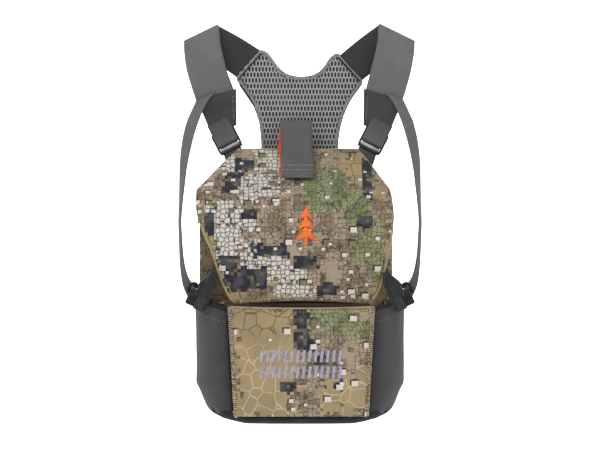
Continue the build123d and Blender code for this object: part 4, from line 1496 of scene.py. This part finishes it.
# ---------------------------------------------------------------- lower side-release buckles
SIDE_STRAP_OUTER = [(103.8, 46.2, 323.5), (106, 46.0, 318.5), (109, 45.6, 312), (112.8, 44.2, 303.5),
                    (116, 41.5, 292), (118.3, 38, 279.6), (119.7, 34, 267), (120.3, 30, 254.7),
                    (120.6, 25, 240), (120.8, 18, 225), (121.5, 8, 204), (121, -4, 185), (120.2, -15, 164),
                    (118.6, -27, 147), (116.4, -36, 136.5), (112.6, -43.5, 127.5), (109, -47.4, 120.5)]
SIDE_STRAP_INNER = [(84, 44.4, 332.3), (89, 43.2, 327), (94.6, 41.6, 319), (100, 38.6, 306.5),
                    (104.6, 34, 293.5), (108, 28.5, 281), (111.1, 22.5, 267.5), (113.4, 16.5, 255),
                    (115.2, 9.5, 240), (117, 2.5, 225), (118.8, -8, 204), (118, -19, 185),
                    (116.2, -29.5, 164.5), (112.6, -38.2, 149), (107.4, -44.2, 140), (102.4, -47.6, 133),
                    (98.4, -49.2, 127)]
SIDE_STRAP_SHADE = [(0, 0.8), (0.12, 0.85), (0.45, 0.6), (0.75, 0.3), (1, 0.3)]
# Outlines and lines of the right buckle, as (x, z).
SOCKET = [(84.5, 152.0), (88.6, 153.4), (91.5, 149.2), (95.6, 146.2), (98.5, 143.6), (101.2, 140.8),
          (101.4, 136.8), (104.0, 131.8), (104.2, 128.8), (99, 126.2), (91.8, 123.2), (88.8, 125.0),
          (85.6, 133), (83.3, 138.5), (82.3, 144), (82.7, 149.5)]
SOCKET_RAISED = [(87.6, 148.5), (91.6, 145.4), (97.6, 139.6), (98.6, 131.0), (93.4, 128.6), (88.8, 134.6),
                 (86.0, 142.6)]
# The light line along the socket's upper edge: a painted highlight.
SOCKET_GLINT_LINE = [(88.2, 152.6), (91.1, 148.7), (95.2, 145.8), (98.2, 143.2), (100.7, 140.3), (101.0, 136.8),
              (103.4, 131.6), (103.6, 129.2)]
STRAP_CURL = [(113.4, 131.5), (112.8, 136.2), (110.6, 140.2), (106.8, 142.2), (103.0, 141.4), (100.2, 138.0)]
# The webbing that holds the socket: one edge, then the other, as (x, y, z).
LOWER_ANCHOR = ([(90.0, -46.6, 146.5), (91.0, -44.6, 150.4), (89.8, -41.0, 153.4), (88.0, -37.0, 155.4),
                 (86.0, -36.4, 159.0)],
                [(82.2, -46.6, 142.5), (83.0, -44.2, 146.6), (81.6, -41.0, 149.4), (80.0, -38.8, 151.6),
                 (78.0, -38.6, 155.0)])
BUCKLE_TILT = math.radians(25)
for side, name in SIDES:
    down = Vector((side * math.sin(BUCKLE_TILT), 0, -math.cos(BUCKLE_TILT)))
    across = Vector((math.cos(BUCKLE_TILT), 0, side * math.sin(BUCKLE_TILT)))
    centre = Vector((side * 95.0, -47.8, 139.0))

    def at(d, a, h):
        """A place on the buckle: down along it, across it and out from it."""
        return centre + down * d + across * a + FORWARD * h

    def webbing_piece(part, edges, thick, step, count, shade, material, body, replaces=()):
        piece = ribbon(part + name, *edges, thick, step, across=count, shade=shade)
        return finish_piece(piece, material, body, replaces)

    male = "lower_male_" + name
    socket, raised = [[(side * x, z) for x, z in outline] for outline in (SOCKET, SOCKET_RAISED)]
    body = soft_copy("buckle_socket_" + name, [], 0.42, 2,
                     blocks=[(at(9.3, 0, 3.6), across, down, (7.6, 0.5, 1.0))],
                     plates=[(socket, -51.0, -44.4), (raised, -52.2, -50.0)])
    finish_piece(body, PLASTIC, "pack", ["lower_female_" + name])
    # A thin grey tube on the socket's edge: a painted highlight, not a moulded rim.
    shoulder = spline(mirrored([(x, -51.0, z) for x, z in SOCKET_GLINT_LINE], side), 60)
    finish_piece(tube("socket_glint_line_" + name, shoulder, 0.42), GLINT_PLASTIC, "pack")
    prongs = soft_copy("buckle_plug_" + name, [male], 0.42, 3, blocks=[
        (at(12.6, 0, 1.8), across, down, (9.6, 1.0, 0.9)), (at(18.0, 0, 1.6), across, down, (9.2, 0.9, 0.8)),
        (at(23.4, 0, 1.4), across, down, (9.8, 1.2, 0.9)),
    ])
    finish_piece(prongs, PLASTIC, male, [male])
    turns = [2 * math.pi * k / 32 for k in range(33)]
    rim_path = [at(17.6 + 3.4 * math.sin(a), side * (5.4 + 4.6 * math.cos(a)), 4.3) for a in turns]
    finish_piece(tube("plug_rim_" + name, rim_path, 0.45), PLASTIC, male)
    # The webbing in the plug's throat uses the darker copy: painted shade.
    throat = ([at(d, -side * 1.0, 2.2) for d in (9.0, 12, 17, 24.2)],
              [at(d, side * 10.2, 2.2) for d in (9.0, 13.4, 17, 23.4)])
    webbing_piece("plug_throat_", throat, 1.6, 1.0, 6, lambda t: 0.15, SHADED_WEB, male)

    # Side strap, from under the shoulder strap down to the plug.
    edges = [[seen(side * x, y, z) for x, y, z in line] for line in (SIDE_STRAP_INNER, SIDE_STRAP_OUTER)]
    web = webbing_piece("side_strap_webbing_", edges[::side], 1.6, 2.0, 8,
                        lambda t: table(t, SIDE_STRAP_SHADE), WEB, None, ["side_strap_" + name])
    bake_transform(web)
    # Its free end curls back behind the buckle, and a short tail lies over the plug.
    curl = (mirrored([(x, -45.2, z) for x, z in STRAP_CURL], side),
            mirrored([(lerp(x, 104, 0.96), -41.5, lerp(z, 135, 0.96)) for x, z in STRAP_CURL], side))
    # The curl is the side strap's own webbing, painted darker as shade.
    webbing_piece("strap_curl_", curl, 1.4, 1.2, 6, lambda t: 0.2, SHADED_WEB, male)
    heights = ((10.5, 2.4), (12.6, 4.6), (16, 5.0), (20, 5.0), (23.6, 4.0), (25.2, 2.0))
    tail = ([at(d, -side * 8.6, h) for d, h in heights], [at(d, side * 1.4, h) for d, h in heights])
    webbing_piece("strap_tail_webbing_", tail, 1.5, 1.2, 8, lambda t: 0.06, WEB, male, ["strap_tail_" + name])
    # The socket's anchor webbing uses the darker copy: painted shade.
    anchor = [mirrored(line, side) for line in LOWER_ANCHOR]
    webbing_piece("lower_anchor_webbing_", anchor, 1.3, 1.2, 8, lambda t: 1.0, SHADED_WEB, "pack",
                  ["lower_anchor_" + name])
